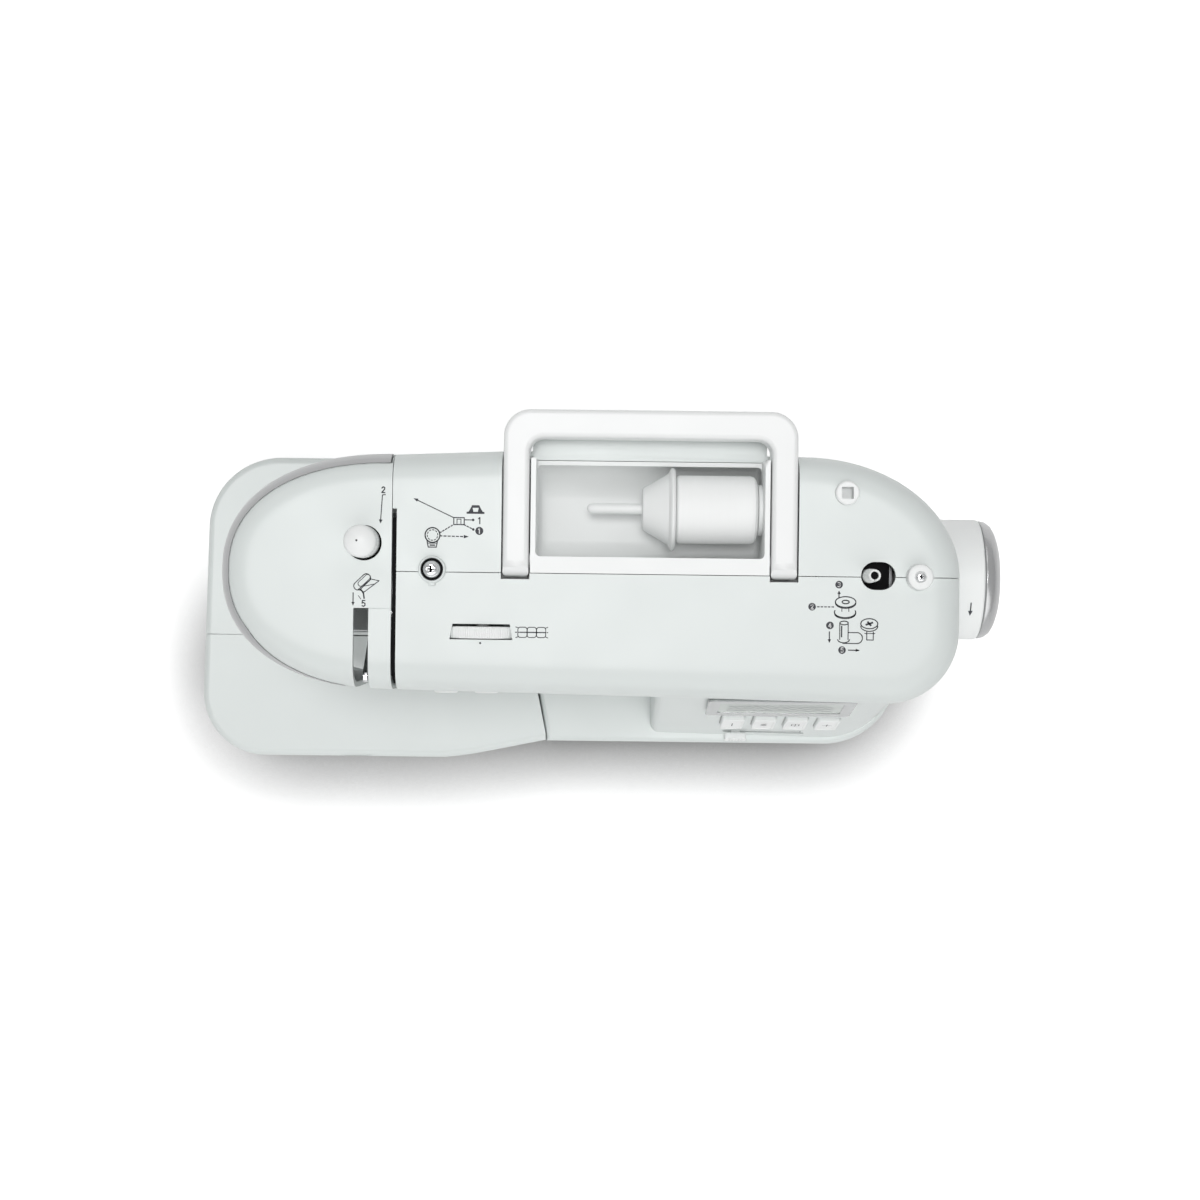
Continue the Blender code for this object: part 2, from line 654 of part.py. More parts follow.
def make_main_frame():
    """The cast frame that carries the shafts, bars, motor and winder."""
    head_right = HARP_LEFT + 5
    lug_z = (ARM_TOP - 62, ARM_TOP - 54)
    lever_pin = (PRESSER_Y + 18, HEAD_BOTTOM + 12)
    beam_z = (ARM_BOTTOM + 6, ARM_BOTTOM + 22)
    frame = box("main_frame", (HARP_LEFT - 3, RIGHT_X - 24), (34, 44), beam_z)
    pieces = [
        box("frame_head", (HARP_LEFT - 5, head_right), (-14, 43), (ARM_BOTTOM + 3.5, ARM_TOP - 34)),
        box("frame_head_low", (HARP_LEFT - 12, HARP_LEFT - WALL - 0.7), (3, 42),
            (HEAD_BOTTOM + 11, ARM_BOTTOM + 10)),
        box("frame_bar_plate", (NEEDLE_X - 44, HARP_LEFT - WALL - 1.2), (2, PRESSER_Y + 9),
            (HEAD_BOTTOM + 10, HEAD_BOTTOM + 18)),
        box("frame_lug", (NEEDLE_X - 8, NEEDLE_X + 5.5), (8, 41), lug_z),
        box("frame_lug_web", (NEEDLE_X + 2, HARP_LEFT + 2), (SHAFT_Y + CRANK_RADIUS + 3.5, 42),
            (lug_z[0] + 1, lug_z[1] - 1)),
        box("frame_lever_left", (NEEDLE_X - 12, NEEDLE_X - 8.5), (PRESSER_Y + 6, 52),
            (HEAD_BOTTOM + 7, HEAD_BOTTOM + 17)),
        box("frame_lever_right", (NEEDLE_X + 12.5, NEEDLE_X + 16), (PRESSER_Y + 6, 52),
            (HEAD_BOTTOM + 7, HEAD_BOTTOM + 17)),
        box("frame_bearing", (TIMING_X[1] + 3, TIMING_X[1] + 15), (2, 43), (ARM_BOTTOM + 15, ARM_TOP - 22)),
        box("frame_winder_shelf", (WINDER[0] - 22, WINDER[0] + 12), (3, 24), (ARM_TOP - 24, ARM_TOP - 14.3)),
        box("frame_dial_arm", (DIAL_X - 4, DIAL_X + 6), (-9, 36), (ARM_BOTTOM + 7, ARM_BOTTOM + 16)),
        box("frame_dial_post", (DIAL_X - 7, DIAL_X + 7), (DIAL_Y[1] + 1.5, DIAL_Y[1] + 8),
            (ARM_BOTTOM + 8, DIAL_Z + 7)),
        box("frame_post", (COLUMN_LEFT + 15, COLUMN_LEFT + 39), (31, 43), (30, ARM_BOTTOM + 20)),
        box("frame_bed_beam", (FREE_ARM_LEFT + 13, RIGHT_X - 19), (30, 42),
            (FREE_ARM_BOTTOM + 2.5, FREE_ARM_BOTTOM + 16)),
        box("frame_foot_left", (BASE_LEFT_X + 6, BASE_LEFT_X + 26), (31, 41),
            (BASE_BOTTOM, FREE_ARM_BOTTOM + 4)),
        box("frame_foot_right", (MOTOR_X[0] + 5, MOTOR_X[1] - 3), (31, 41),
            (BASE_BOTTOM, FREE_ARM_BOTTOM + 4)),
        box("frame_motor_bridge", (MOTOR_X[0] + 6, MOTOR_X[1] - 4), (MOTOR_Y + MOTOR_RADIUS + 1, 40),
            (BASE_BOTTOM + 0.5, 24)),
        box("frame_motor_wall", (MOTOR_X[0] + 5, MOTOR_X[1] - 3),
            (MOTOR_Y + MOTOR_RADIUS + 0.4, MOTOR_Y + MOTOR_RADIUS + 6),
            (BASE_BOTTOM, MOTOR_Z + 26)),
    ]
    for side, x in (("left", NEEDLE_X - 17), ("right", NEEDLE_X + 54)):
        pieces.append(box(f"frame_bearing_{side}", (x, x + 6), (SHAFT_Y - 6, 41),
                          (FREE_ARM_BOTTOM + 7, LOWER_SHAFT_Z + 7)))
    add(frame, *pieces)
    bar_bores = (("needle_bar_bore", NEEDLE_Y, NEEDLE_BAR_RADIUS),
                 ("presser_bar_bore", PRESSER_Y, PRESSER_BAR_RADIUS))
    for name, y, radius in bar_bores:
        cut(frame, cylinder(name, "Z", radius + BORE_GAP, (NEEDLE_X, y), HEAD_BOTTOM, ARM_TOP - 50))
    shaft_line = (SHAFT_Y, SHAFT_Z)
    cut(frame, cylinder("upper_shaft_bore", "X", SHAFT_RADIUS + 0.3, shaft_line, HARP_LEFT - 8, RIGHT_X - 40))
    cut(frame, cylinder("lower_shaft_bore", "X", LOWER_SHAFT_RADIUS + 0.3, (SHAFT_Y, LOWER_SHAFT_Z),
                        NEEDLE_X - 24, 0))
    cut(frame, cylinder("lever_pin_bore", "X", 2.3, lever_pin, NEEDLE_X - 20, NEEDLE_X + 18))
    cut(frame, cylinder("dial_bore", "Y", 3.3, (DIAL_X, DIAL_Z), DIAL_Y[1], DIAL_Y[1] + 12))
    part(frame, "cast_metal")


def make_needle_bar():
    bottom = BED_Z + 56
    bar = cylinder("needle_bar", "Z", NEEDLE_BAR_RADIUS, (NEEDLE_X, NEEDLE_Y), bottom, BAR_TOP)
    part(bar, "steel", pivot=(NEEDLE_X, NEEDLE_Y, bottom))
    clamp = turned("needle_clamp", "Z", (NEEDLE_X, NEEDLE_Y),
                   ((0, bottom - GAP), (4.8, bottom - GAP), (4.8, bottom - 9), (3.4, bottom - 12),
                    (0, bottom - 12)))
    screw = cylinder("clamp_screw", "X", 1.8, (NEEDLE_Y, bottom - 6), NEEDLE_X + 2, NEEDLE_X + 11, 16)
    part(add(clamp, screw), "steel")
    top = bottom - 12 - GAP
    profile = ((0, top), (1.0, top), (1.0, top - 12), (0.5, top - 14), (0.5, BED_Z + 15),
               (0.15, BED_Z + 12), (0, BED_Z + 12))
    part(turned("needle", "Z", (NEEDLE_X, NEEDLE_Y), profile, 10), "steel")


def make_take_up_lever():
    x = (NEEDLE_X - TAKE_UP_HALF, NEEDLE_X + TAKE_UP_HALF)
    lever = plate("take_up_lever", "X", capsule(TAKE_UP_PIVOT, TAKE_UP_TIP, 5.0, 3.0), *x)
    add(lever, cylinder("take_up_pin", "X", 2.5, TAKE_UP_PIVOT, NEEDLE_X - 0.5, HARP_LEFT - 5.4, 16))
    cut(lever, cylinder("take_up_eye", "X", 1.3, TAKE_UP_TIP, NEEDLE_X - 5, NEEDLE_X + 5, 12))
    part(lever, "steel", pivot=(NEEDLE_X, *TAKE_UP_PIVOT))


def make_presser():
    bottom = BED_Z + 28
    line = (NEEDLE_X, PRESSER_Y)
    part(cylinder("presser_bar", "Z", PRESSER_BAR_RADIUS, line, bottom, BAR_TOP), "steel",
         pivot=(*line, bottom))
    pivot = (PRESSER_Y - 2, BED_Z + 8)
    holder = box("foot_holder", (NEEDLE_X - 7, NEEDLE_X + 7), (PRESSER_Y - 6, PRESSER_Y + 5),
                 (BED_Z + 13, bottom - GAP))
    for side, low in (("left", NEEDLE_X - 7), ("right", NEEDLE_X + 4.4)):
        add(holder, box(f"holder_cheek_{side}", (low, low + 2.6), (pivot[0] - 3.8, pivot[0] + 3.8),
                        (BED_Z + 5.5, BED_Z + 14)))
    cut(holder, cylinder("holder_bore", "X", 1.6, pivot, NEEDLE_X - 9, NEEDLE_X + 9, 16))
    part(holder, "steel")

    sole_heights = (BED_Z + 2.5, BED_Z + 4.6)
    sole = loft("presser_foot", [[at("Z", point, z) for point in foot_outline()] for z in sole_heights])
    ankle = box("foot_ankle", (NEEDLE_X - 4, NEEDLE_X + 4), (pivot[0] - 3, pivot[0] + 3),
                (BED_Z + 4, BED_Z + 11))
    pin = cylinder("foot_pin", "X", 1.2, pivot, NEEDLE_X - 6.6, NEEDLE_X + 6.6, 12)
    slot = box("foot_slot", (NEEDLE_X - 3.6, NEEDLE_X + 3.6), (NEEDLE_Y - 3.5, NEEDLE_Y + 3.5),
               (BED_Z, BED_Z + 8))
    toes = box("foot_toes", (NEEDLE_X - 2.2, NEEDLE_X + 2.2), (-FAR, NEEDLE_Y), (BED_Z, BED_Z + 8))
    part(cut(add(sole, ankle, pin), slot, toes), "steel", pivot=(NEEDLE_X, *pivot))


def foot_outline():
    left, right = NEEDLE_X - 12.5, NEEDLE_X + 12.5
    front, rear = PRESSER_Y - 19.5, PRESSER_Y + 12
    return [(left + 2, front), (right - 2, front), (right, front + 3), (right, rear - 6),
            (right - 5, rear), (left + 5, rear), (left, rear - 6), (left, front + 3)]


def make_presser_lever():
    pivot = (PRESSER_Y + 18, HEAD_BOTTOM + 12)
    tip = (pivot[0] + 14, pivot[1] - 33)
    lever = plate("presser_lever", "X", capsule(pivot, tip, 4.5, 5.5), NEEDLE_X + 0.5, NEEDLE_X + 5.5)
    add(lever, cylinder("lever_pin", "X", 2.0, pivot, NEEDLE_X - 11, NEEDLE_X + 15, 16))
    part(lever, "soft_white", pivot=(NEEDLE_X + 3, *pivot))


def make_feed_dog():
    bar_y = (RAIL_Y[1] - 8, RAIL_Y[1] - 2)
    outer = RAIL_INNER + RAIL_WIDTH
    dog = box("feed_dog", (NEEDLE_X - outer + 0.4, NEEDLE_X + outer - 0.4), bar_y, (BED_Z - 7, BED_Z - 3))
    for side, low in (("left", NEEDLE_X - outer), ("right", NEEDLE_X + RAIL_INNER)):
        add(dog, box(f"feed_rail_{side}", (low, low + RAIL_WIDTH), RAIL_Y, (BED_Z - 4.8, BED_Z + 0.7)))
    stem = (bar_y[0] + 0.6, bar_y[1] + 0.6)
    add(dog, box("feed_stem", (NEEDLE_X - 4, NEEDLE_X + 4), stem, (FREE_ARM_BOTTOM + 16.4, BED_Z - 5)))
    part(dog, "steel", pivot=(NEEDLE_X, RAIL_Y[0], BED_Z))


def make_hook_and_bobbin():
    line = (NEEDLE_X, HOOK_Y)
    low = BED_Z - 22
    hook = turned("hook", "Z", line, (
        (0, low + 3.7), (HOOK_RADIUS - 1.2, low + 3.7), (HOOK_RADIUS - 1.2, low + 14),
        (HOOK_RADIUS, low + 14), (HOOK_RADIUS, low), (4.6, low),
        (4.6, LOWER_SHAFT_Z - 4), (0, LOWER_SHAFT_Z - 4)))
    part(hook, "steel")
    floor = low + 4.0
    case = turned("bobbin_case", "Z", line, (
        (0, floor + 1), (BOBBIN_RADIUS + 0.4, floor + 1), (BOBBIN_RADIUS + 0.4, floor + 12.5),
        (CASE_RADIUS, floor + 12.5), (CASE_RADIUS, floor), (0, floor)))
    part(case, "black_plastic")
    base = floor + 1 + GAP
    top = base + BOBBIN_HEIGHT
    bobbin = turned("bobbin", "Z", line, (
        (3, top), (BOBBIN_RADIUS, top), (BOBBIN_RADIUS, top - 1), (5, top - 1), (5, base + 1),
        (BOBBIN_RADIUS, base + 1), (BOBBIN_RADIUS, base), (3, base)), 24, ring=True)
    part(bobbin, "lens")


def make_lamp():
    part(box("lamp_lens", (NEEDLE_X - 41, NEEDLE_X - 18), (5, 30),
             (HEAD_BOTTOM + 3, HEAD_BOTTOM + 10 - GAP)), "lens")


# ---------------------------------------------------------------- drive

def make_upper_shaft():
    line = (SHAFT_Y, SHAFT_Z)
    left = HARP_LEFT - 7
    profile = ((0, PULLEY_X[0] - 0.4), (SHAFT_RADIUS, PULLEY_X[0] - 0.4), (SHAFT_RADIUS, TIMING_X[1]),
               (TIMING_RADIUS, TIMING_X[1]), (TIMING_RADIUS, TIMING_X[0]), (SHAFT_RADIUS, TIMING_X[0]),
               (SHAFT_RADIUS, left), (CRANK_RADIUS + 2.5, left), (CRANK_RADIUS + 2.5, left - 5),
               (0, left - 5))
    shaft = turned("upper_shaft", "X", line, profile, 24)
    add(shaft, cylinder("crank_pin", "X", 2.0, (SHAFT_Y, SHAFT_Z + CRANK_RADIUS), left - 9, left - 4, 12))
    part(shaft, "steel")


def make_lower_shaft():
    low = NEEDLE_X - 20
    r = LOWER_SHAFT_RADIUS
    profile = ((0, TIMING_X[1] + 1), (r, TIMING_X[1] + 1), (r, TIMING_X[1]), (TIMING_RADIUS, TIMING_X[1]),
               (TIMING_RADIUS, TIMING_X[0]), (r, TIMING_X[0]), (r, NEEDLE_X + 4), (GEAR_RADIUS, NEEDLE_X + 4),
               (GEAR_RADIUS, NEEDLE_X - 4), (r, NEEDLE_X - 4), (r, low), (0, low))
    part(turned("lower_shaft", "X", (SHAFT_Y, LOWER_SHAFT_Z), profile, 24), "steel")


def make_handwheel():
    line = (SHAFT_Y, SHAFT_Z)
    face = HAND_X + HAND_WIDTH
    profile = ((0, face), (HAND_RADIUS, face), (HAND_RADIUS, HAND_X), (HUB_RADIUS, HAND_X),
               (HUB_RADIUS, PULLEY_X[1]), (PULLEY_RADIUS, PULLEY_X[1]),
               (PULLEY_RADIUS, PULLEY_X[0]), (0, PULLEY_X[0]))
    part(turned("handwheel", "X", line, profile, 40), "body_white")
    low = face + GAP
    ring = ((0, low + 8.5), (16, low + 8.3), (22, low + 7.6), (26, low + 6.2), (28.2, low + 4.0),
            (HAND_RADIUS, low + 1.5), (HAND_RADIUS, low), (0, low))
    part(turned("handwheel_ring", "X", line, ring, 40), "silver_trim")


def make_motor():
    line = (MOTOR_Y, MOTOR_Z)
    low, high = MOTOR_X
    profile = ((0, high + 3.7), (3, high + 3.7), (3, high), (MOTOR_RADIUS - 3, high),
               (MOTOR_RADIUS, high - 4), (MOTOR_RADIUS, low + 4), (MOTOR_RADIUS - 3, low), (0, low))
    part(turned("motor", "X", line, profile), "black_plastic")
    low = high + 4
    pulley = ((0, low + 12), (9, low + 12), (9, low + 10.5), (MOTOR_PULLEY_RADIUS, low + 10),
              (MOTOR_PULLEY_RADIUS, low + 2.5), (9, low + 2), (9, low), (0, low))
    part(turned("motor_pulley", "X", line, pulley, 24), "steel")


def make_belt(name, centre_a, radius_a, centre_b, radius_b, xs):
    """A belt round two pulleys, standing clear of both by GAP."""
    outer = capsule(centre_a, centre_b, radius_a + GAP + BELT_THICKNESS, radius_b + GAP + BELT_THICKNESS, 14)
    inner = capsule(centre_a, centre_b, radius_a + GAP, radius_b + GAP, 14)
    belt = plate(name, "X", outer, *xs)
    cut(belt, plate(name + "_inside", "X", inner, xs[0] - 2, xs[1] + 2))
    part(belt, "rubber")


def make_belts():
    make_belt("drive_belt", (MOTOR_Y, MOTOR_Z), MOTOR_PULLEY_RADIUS, (SHAFT_Y, SHAFT_Z), PULLEY_RADIUS,
              (PULLEY_X[0] + 2, PULLEY_X[0] + 8))
    make_belt("timing_belt", (SHAFT_Y, LOWER_SHAFT_Z), TIMING_RADIUS, (SHAFT_Y, SHAFT_Z), TIMING_RADIUS,
              (TIMING_X[0] + 0.5, TIMING_X[1] - 0.5))


# ---------------------------------------------------------------- top of the arm

def make_dials():
    dial = cylinder("tension_dial", "Y", DIAL_RADIUS, (DIAL_X, DIAL_Z), *DIAL_Y, segments=48)
    axle = cylinder("dial_axle", "Y", 3.0, (DIAL_X, DIAL_Z), DIAL_Y[1] - 1, DIAL_Y[1] + 9)
    part(add(dial, axle), "body_white", pivot=(DIAL_X, sum(DIAL_Y) / 2, DIAL_Z))
    foot = ARM_TOP + GAP
    top = foot + PRESSURE_HEIGHT
    profile = ((0, top + 5), (2.2, top + 5), (3, top + 4), (3, top), (PRESSURE_RADIUS - 1.2, top),
               (PRESSURE_RADIUS, top - 1.5), (PRESSURE_RADIUS, foot), (3, foot),
               (3, ARM_TOP - 14), (0, ARM_TOP - 14))
    part(turned("pressure_dial", "Z", PRESSURE, profile, 24), "body_white")


def make_tension_post():
    foot = ARM_TOP + GAP
    post = ((0, foot + 9), (4, foot + 9), (4, foot + 6), (2, foot + 6), (2, foot + 1.7), (6, foot + 1.7),
            (6, foot), (0, foot))
    part(turned("bobbin_tension_post", "Z", TENSION_POST, post, 24), "steel")
    disc = ((2.4, foot + 5.6), (3.4, foot + 5.6), (5.2, foot + 2.9), (5.2, foot + 2.1), (2.4, foot + 2.1))
    part(turned("bobbin_tension_disc", "Z", TENSION_POST, disc, 24, ring=True), "steel")


def make_winder():
    x, y = WINDER
    shelf = ARM_TOP - 14.3
    carriage = box("winder_carriage", (x - 10, x + 10), (y - 8, y + 8), (shelf + GAP, shelf + 6))
    part(carriage, "black_plastic", pivot=(x, y, shelf))
    low = shelf + 6 + GAP
    profile = ((0, low + 14), (1.2, low + 14), (1.2, low + 26), (2.2, low + 26), (2.5, low + 25),
               (3.3, low + 7), (3.3, low), (0, low))
    part(turned("winder_spindle", "Z", WINDER, profile, 20), "body_white")
    foot = ARM_TOP + GAP
    stop = ((0, foot + 6.5), (2.4, foot + 6.5), (2.4, foot + 5.6), (5, foot + 5.6), (6, foot + 4.6),
            (6, foot), (0, foot))
    part(turned("bobbin_stop", "Z", BOBBIN_STOP, stop, 24), "body_white")


def make_socket():
    foot = ARM_TOP + GAP
    socket = turned("extra_pin_socket", "Z", SOCKET, (
        (0, foot + 2), (5.0, foot + 2), (5.6, foot + 1.4), (5.6, foot), (SOCKET_RADIUS, foot),
        (SOCKET_RADIUS, ARM_TOP - 12), (0, ARM_TOP - 12)), 24)
    half = 3.0
    pocket = box("socket_pocket", (SOCKET[0] - half, SOCKET[0] + half), (SOCKET[1] - half, SOCKET[1] + half),
                 (foot - 6, foot + 4))
    part(cut(socket, pocket), "soft_white")


def make_spool_tray():
    left, right = TRAY_X
    inside = (left + TRAY_WALL, right - TRAY_WALL)
    wall_y = TRAY_FRONT_Y - 2.3
    tray = box("spool_tray", TRAY_X, (SEAM_Y + GAP / 2, TRAY_REAR_Y), (TRAY_FLOOR_Z, ARM_TOP))
    cut(tray, box("tray_under_bar", (-FAR, FAR), (-FAR, wall_y), (0, TRAY_LOW_EDGE)),
        box("tray_trough", inside, (TRAY_FRONT_Y, TRAY_REAR_Y - TRAY_WALL), (TRAY_FLOOR_Z + TRAY_WALL, FAR)),
        box("tray_low_rear", inside, (TRAY_REAR_Y - TRAY_WALL - 1, FAR), (TRAY_LOW_EDGE, FAR)))
    wing_z = (TRAY_LOW_EDGE - 3.5, TRAY_LOW_EDGE - 1.5)
    wing_front = WELL_FRONT_Y - 2.0
    under_covers = upper_body("wing_limit", WALL + GAP)
    sides = (("left", (WELL_X[0] - 2.0, left + 1), (WELL_X[0] - 2.0, WELL_X[0] - 0.2)),
             ("right", (right - 1, WELL_X[1] + 2.0), (WELL_X[1] + 0.2, WELL_X[1] + 2.0)))
    for side, floor_x, wall_x in sides:
        wing = box(f"wing_floor_{side}", floor_x, (wing_front, TRAY_REAR_Y - 0.8), wing_z)
        add(wing, box(f"wing_wall_{side}", wall_x, (wing_front + 0.4, TRAY_REAR_Y - 1),
                      (wing_z[0] + 0.5, FAR)),
            box(f"wing_lip_{side}", (floor_x[0] + 0.5, floor_x[1] - 0.5),
                (wing_front + 0.2, WELL_FRONT_Y - 0.2),
                (wing_z[0] + 0.7, FAR)))
        add(tray, boolean(wing, "INTERSECT", [under_covers]))
    pivot = (HANDLE_PIVOT_Y, HANDLE_PIVOT_Z)
    cut(tray, cylinder("trunnion_hole_left", "X", TRUNNION_RADIUS + GAP, pivot, left - 1, inside[0] + 0.3),
        cylinder("trunnion_hole_right", "X", TRUNNION_RADIUS + GAP, pivot, inside[1] - 0.3, right + 1))
    part(tray, "body_white")


def handle_outline():
    """The carrying handle from above, folded back round the spool tray."""
    left, right = HANDLE_X
    rear = HANDLE_REAR_Y
    outer, inner = HANDLE_BAR - 0.6, 5.5
    inside_left, inside_right = left + HANDLE_WIDTH, right - HANDLE_WIDTH
    inside_rear = rear - HANDLE_BAR
    return ([(left, HANDLE_PIVOT_Y), (inside_left, HANDLE_PIVOT_Y)]
            + arc(inside_left + inner, inside_rear - inner, inner, inner, 180, 90, 5)
            + arc(inside_right - inner, inside_rear - inner, inner, inner, 90, 0, 5)
            + [(inside_right, HANDLE_PIVOT_Y), (right, HANDLE_PIVOT_Y)]
            + arc(right - outer, rear - outer, outer, outer, 0, 90, 8)
            + arc(left + outer, rear - outer, outer, outer, 90, 180, 8))


def make_handle():
    left, right = HANDLE_X
    bottom = HANDLE_TOP - 2 * HANDLE_HALF
    handle = plate("carrying_handle", "Z", handle_outline(), bottom, HANDLE_TOP)
    pivot = (HANDLE_PIVOT_Y, HANDLE_PIVOT_Z)
    add(handle, cylinder("handle_end_left", "X", HANDLE_HALF - 0.05, pivot, left, left + HANDLE_WIDTH),
        cylinder("handle_end_right", "X", HANDLE_HALF - 0.05, pivot, right - HANDLE_WIDTH, right),
        cylinder("trunnion_left", "X", TRUNNION_RADIUS, pivot, left + 4, TRAY_X[0] + 1.5),
        cylinder("trunnion_right", "X", TRUNNION_RADIUS, pivot, TRAY_X[1] - 1.5, right - 4),
        box("handle_grip", (left + 9, right - 9), (HANDLE_REAR_Y - HANDLE_BAR + 0.2, HANDLE_REAR_Y - 0.6),
            (bottom - 5.5, bottom + 4)))
    part(handle, "body_white", pivot=((left + right) / 2, *pivot))


def make_spool():
    wall = TRAY_X[1] - TRAY_WALL
    low = SPOOL_X[1] + GAP
    pin = turned("spool_pin", "X", SPOOL_AXIS, (
        (0, wall - GAP), (12, wall - GAP), (12, low), (PIN_RADIUS, low), (PIN_RADIUS, 11),
        (PIN_RADIUS - 1, 9.4), (0, 9.4)), 24)
    part(pin, "body_white")
    left, right = SPOOL_X
    rim = SPOOL_RADIUS
    spool = turned("thread_spool", "X", SPOOL_AXIS, (
        (3.0, right), (rim - 2.5, right), (rim, right - 3), (rim, left + 3), (rim - 2.5, left),
        (3.0, left)), 32, ring=True)
    part(spool, "thread_white")
    face = left - GAP
    cap = turned("spool_cap", "X", SPOOL_AXIS, (
        (2.9, face), (CAP_RADIUS - 1, face), (CAP_RADIUS, face - 1), (CAP_RADIUS - 0.8, face - 3),
        (15, face - 5), (12.5, face - 14.5), (11.5, face - 15.5), (2.9, face - 15.5)), 32, ring=True)
    part(cap, "body_white")


# ---------------------------------------------------------------- controls

def make_buttons():
    wall = ARM_FRONT_Y + 3.7 + WALL
    for name, x in button_places().items():
        inside = wall + 0.9
        profile = ((0, inside + 1.5), (BUTTON_RADIUS + 2, inside + 1.5), (BUTTON_RADIUS + 2, inside),
                   (BUTTON_RADIUS, inside), (BUTTON_RADIUS, inside - 6),
                   (BUTTON_RADIUS - 1, inside - 7), (0, inside - 7))
        part(turned(name, "Y", (x, BUTTON_Z), profile, 24), "soft_white")


def make_panel():
    part(panel_box("display_window", DISPLAY_X, DISPLAY_Z, DISPLAY_HALF, (GAP, 1.5)), "display_grey")
    for name, x in key_places().items():
        key = panel_box(name, (x - KEY_HALF_WIDTH, x + KEY_HALF_WIDTH), KEY_Z, KEY_HALF_LENGTH, (-3.5, 2.0))
        part(key, "soft_white", pivot=(x, column_front(KEY_Z), KEY_Z))
    knob_x = SLIDER_X[0] + 7
    knob = panel_box("speed_knob", (knob_x - 6, knob_x + 6), SLIDER_Z, 3.2, (0.4, 4.0))
    add(knob, panel_box("slider_stem", (knob_x - 2.5, knob_x + 2.5), SLIDER_Z, 1.8, (-5.0, 1.0)))
    part(knob, "soft_white", pivot=(knob_x, column_front(SLIDER_Z), SLIDER_Z))


def make_right_wall_fittings():
    low, high = SWITCH_Z
    x = RIGHT_X
    middle = (low + high) / 2
    rocker = plate("power_switch", "Y", ((x - 3, low + 1), (x + 1.8, low + 0.4), (x + 0.9, middle),
                                         (x + 2.8, high - 0.4), (x - 3, high - 1)), *SWITCH_Y)
    part(rocker, "black_plastic", pivot=(x - 1, sum(SWITCH_Y) / 2, middle))
    inlet = box("power_inlet", (x - 14, x + 1), INLET_Y, (low + 1, high - 1))
    cut(inlet, box("inlet_pocket", (x - 11, x + 4), (INLET_Y[0] + 3, INLET_Y[1] - 3), (low + 4, high - 4)))
    part(inlet, "black_plastic")


# ---------------------------------------------------------------- accessory table

def make_accessory_tray():
    wall = TABLE_WALL
    channel_left = FREE_ARM_LEFT - SLIDE_GAP
    channel_rear = FREE_ARM_REAR + SLIDE_GAP
    split = LID_SPLIT_Y + GAP

    def bed_solid(name, inset, low, high, end=0.0):
        steps = ((low, inset), (high - 6, inset), (high - 2, inset + 1.2), (high, inset + 4.0))
        return loft(name, levels(lambda extra: bed_outline(extra, end), steps))

    tray = bed_solid("accessory_tray", 0.0, TABLE_BOTTOM, BED_Z)
    inside = bed_solid("tray_inside", wall, 0.0, BED_Z - wall)
    cut(inside, box("tray_inside_channel", (channel_left - wall, FAR), (-FAR, channel_rear + wall),
                    (-5, FAR)),
        box("tray_inside_front", (-FAR, FAR), (-FAR, split + wall), (-5, FAR)))
    cut(tray, box("tray_channel", (channel_left, FAR), (LID_SPLIT_Y, channel_rear), (-5, FAR)),
        box("tray_front", (-FAR, FAR), (-FAR, split), (-5, FAR)), inside)

    floor = loft("tray_floor", levels(lambda extra: bed_outline(extra, -1.5),
                                      ((TABLE_BOTTOM + 0.1, LID_FLOOR_INSET),
                                       (TABLE_BOTTOM + 2.3, LID_FLOOR_INSET))))
    cut(floor, box("tray_floor_rear", (-FAR, FAR), (LID_SPLIT_Y, FAR), (0, FAR)))
    seam = BASE_LEFT_X - SLIDE_GAP
    lid_left = BED_LEFT_X + wall + 1.0
    wall_top = BED_Z - wall - GAP
    add(tray, floor,
        box("tray_front_wall", (lid_left + 4, seam - 0.6), (LID_SPLIT_Y - wall, LID_SPLIT_Y),
            (TABLE_BOTTOM, wall_top)),
        box("tray_corner", (lid_left + 4.5, channel_left - 2), (LID_SPLIT_Y - 2, split + 2),
            (TABLE_BOTTOM + 0.2, wall_top - 0.5)),
        box("tray_end_wall", (seam - 3, seam - 0.7), (BASE_FRONT_Y + 4, LID_SPLIT_Y - 1),
            (TABLE_BOTTOM + 0.3, wall_top - 1)))
    part(tray, "body_white")

    lid = bed_solid("accessory_lid", 0.0, LID_BOTTOM, BED_Z)
    cut(lid, bed_solid("lid_inside", wall, 0.0, BED_Z - wall, 12.0),
        box("lid_rear", (-FAR, FAR), (LID_SPLIT_Y, FAR), (0, FAR)))
    part(lid, "body_white", pivot=((BED_LEFT_X + seam) / 2, *LID_HINGE))


make_covers()
make_trim()
make_base_plate()
make_feet()
make_free_arm()
make_needle_plate()
make_bobbin_cover()
make_main_frame()
make_needle_bar()
make_take_up_lever()
make_presser()
make_presser_lever()
make_feed_dog()
make_hook_and_bobbin()
make_lamp()
make_upper_shaft()
make_lower_shaft()
make_handwheel()
make_motor()
make_belts()
make_dials()
make_tension_post()
make_winder()
make_socket()
make_spool_tray()
make_handle()
make_spool()
make_buttons()
make_panel()
make_right_wall_fittings()
make_accessory_tray()
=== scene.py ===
"""Looks of a free-arm household sewing machine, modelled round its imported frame.

Sizes are in millimetres and MM turns them into metres. +X runs to the handwheel, +Y to the
rear and +Z up. Heights of the body's parts are measured from the frame's own pieces.
"""

import math

import bmesh
import bpy
from mathutils import Matrix, Vector


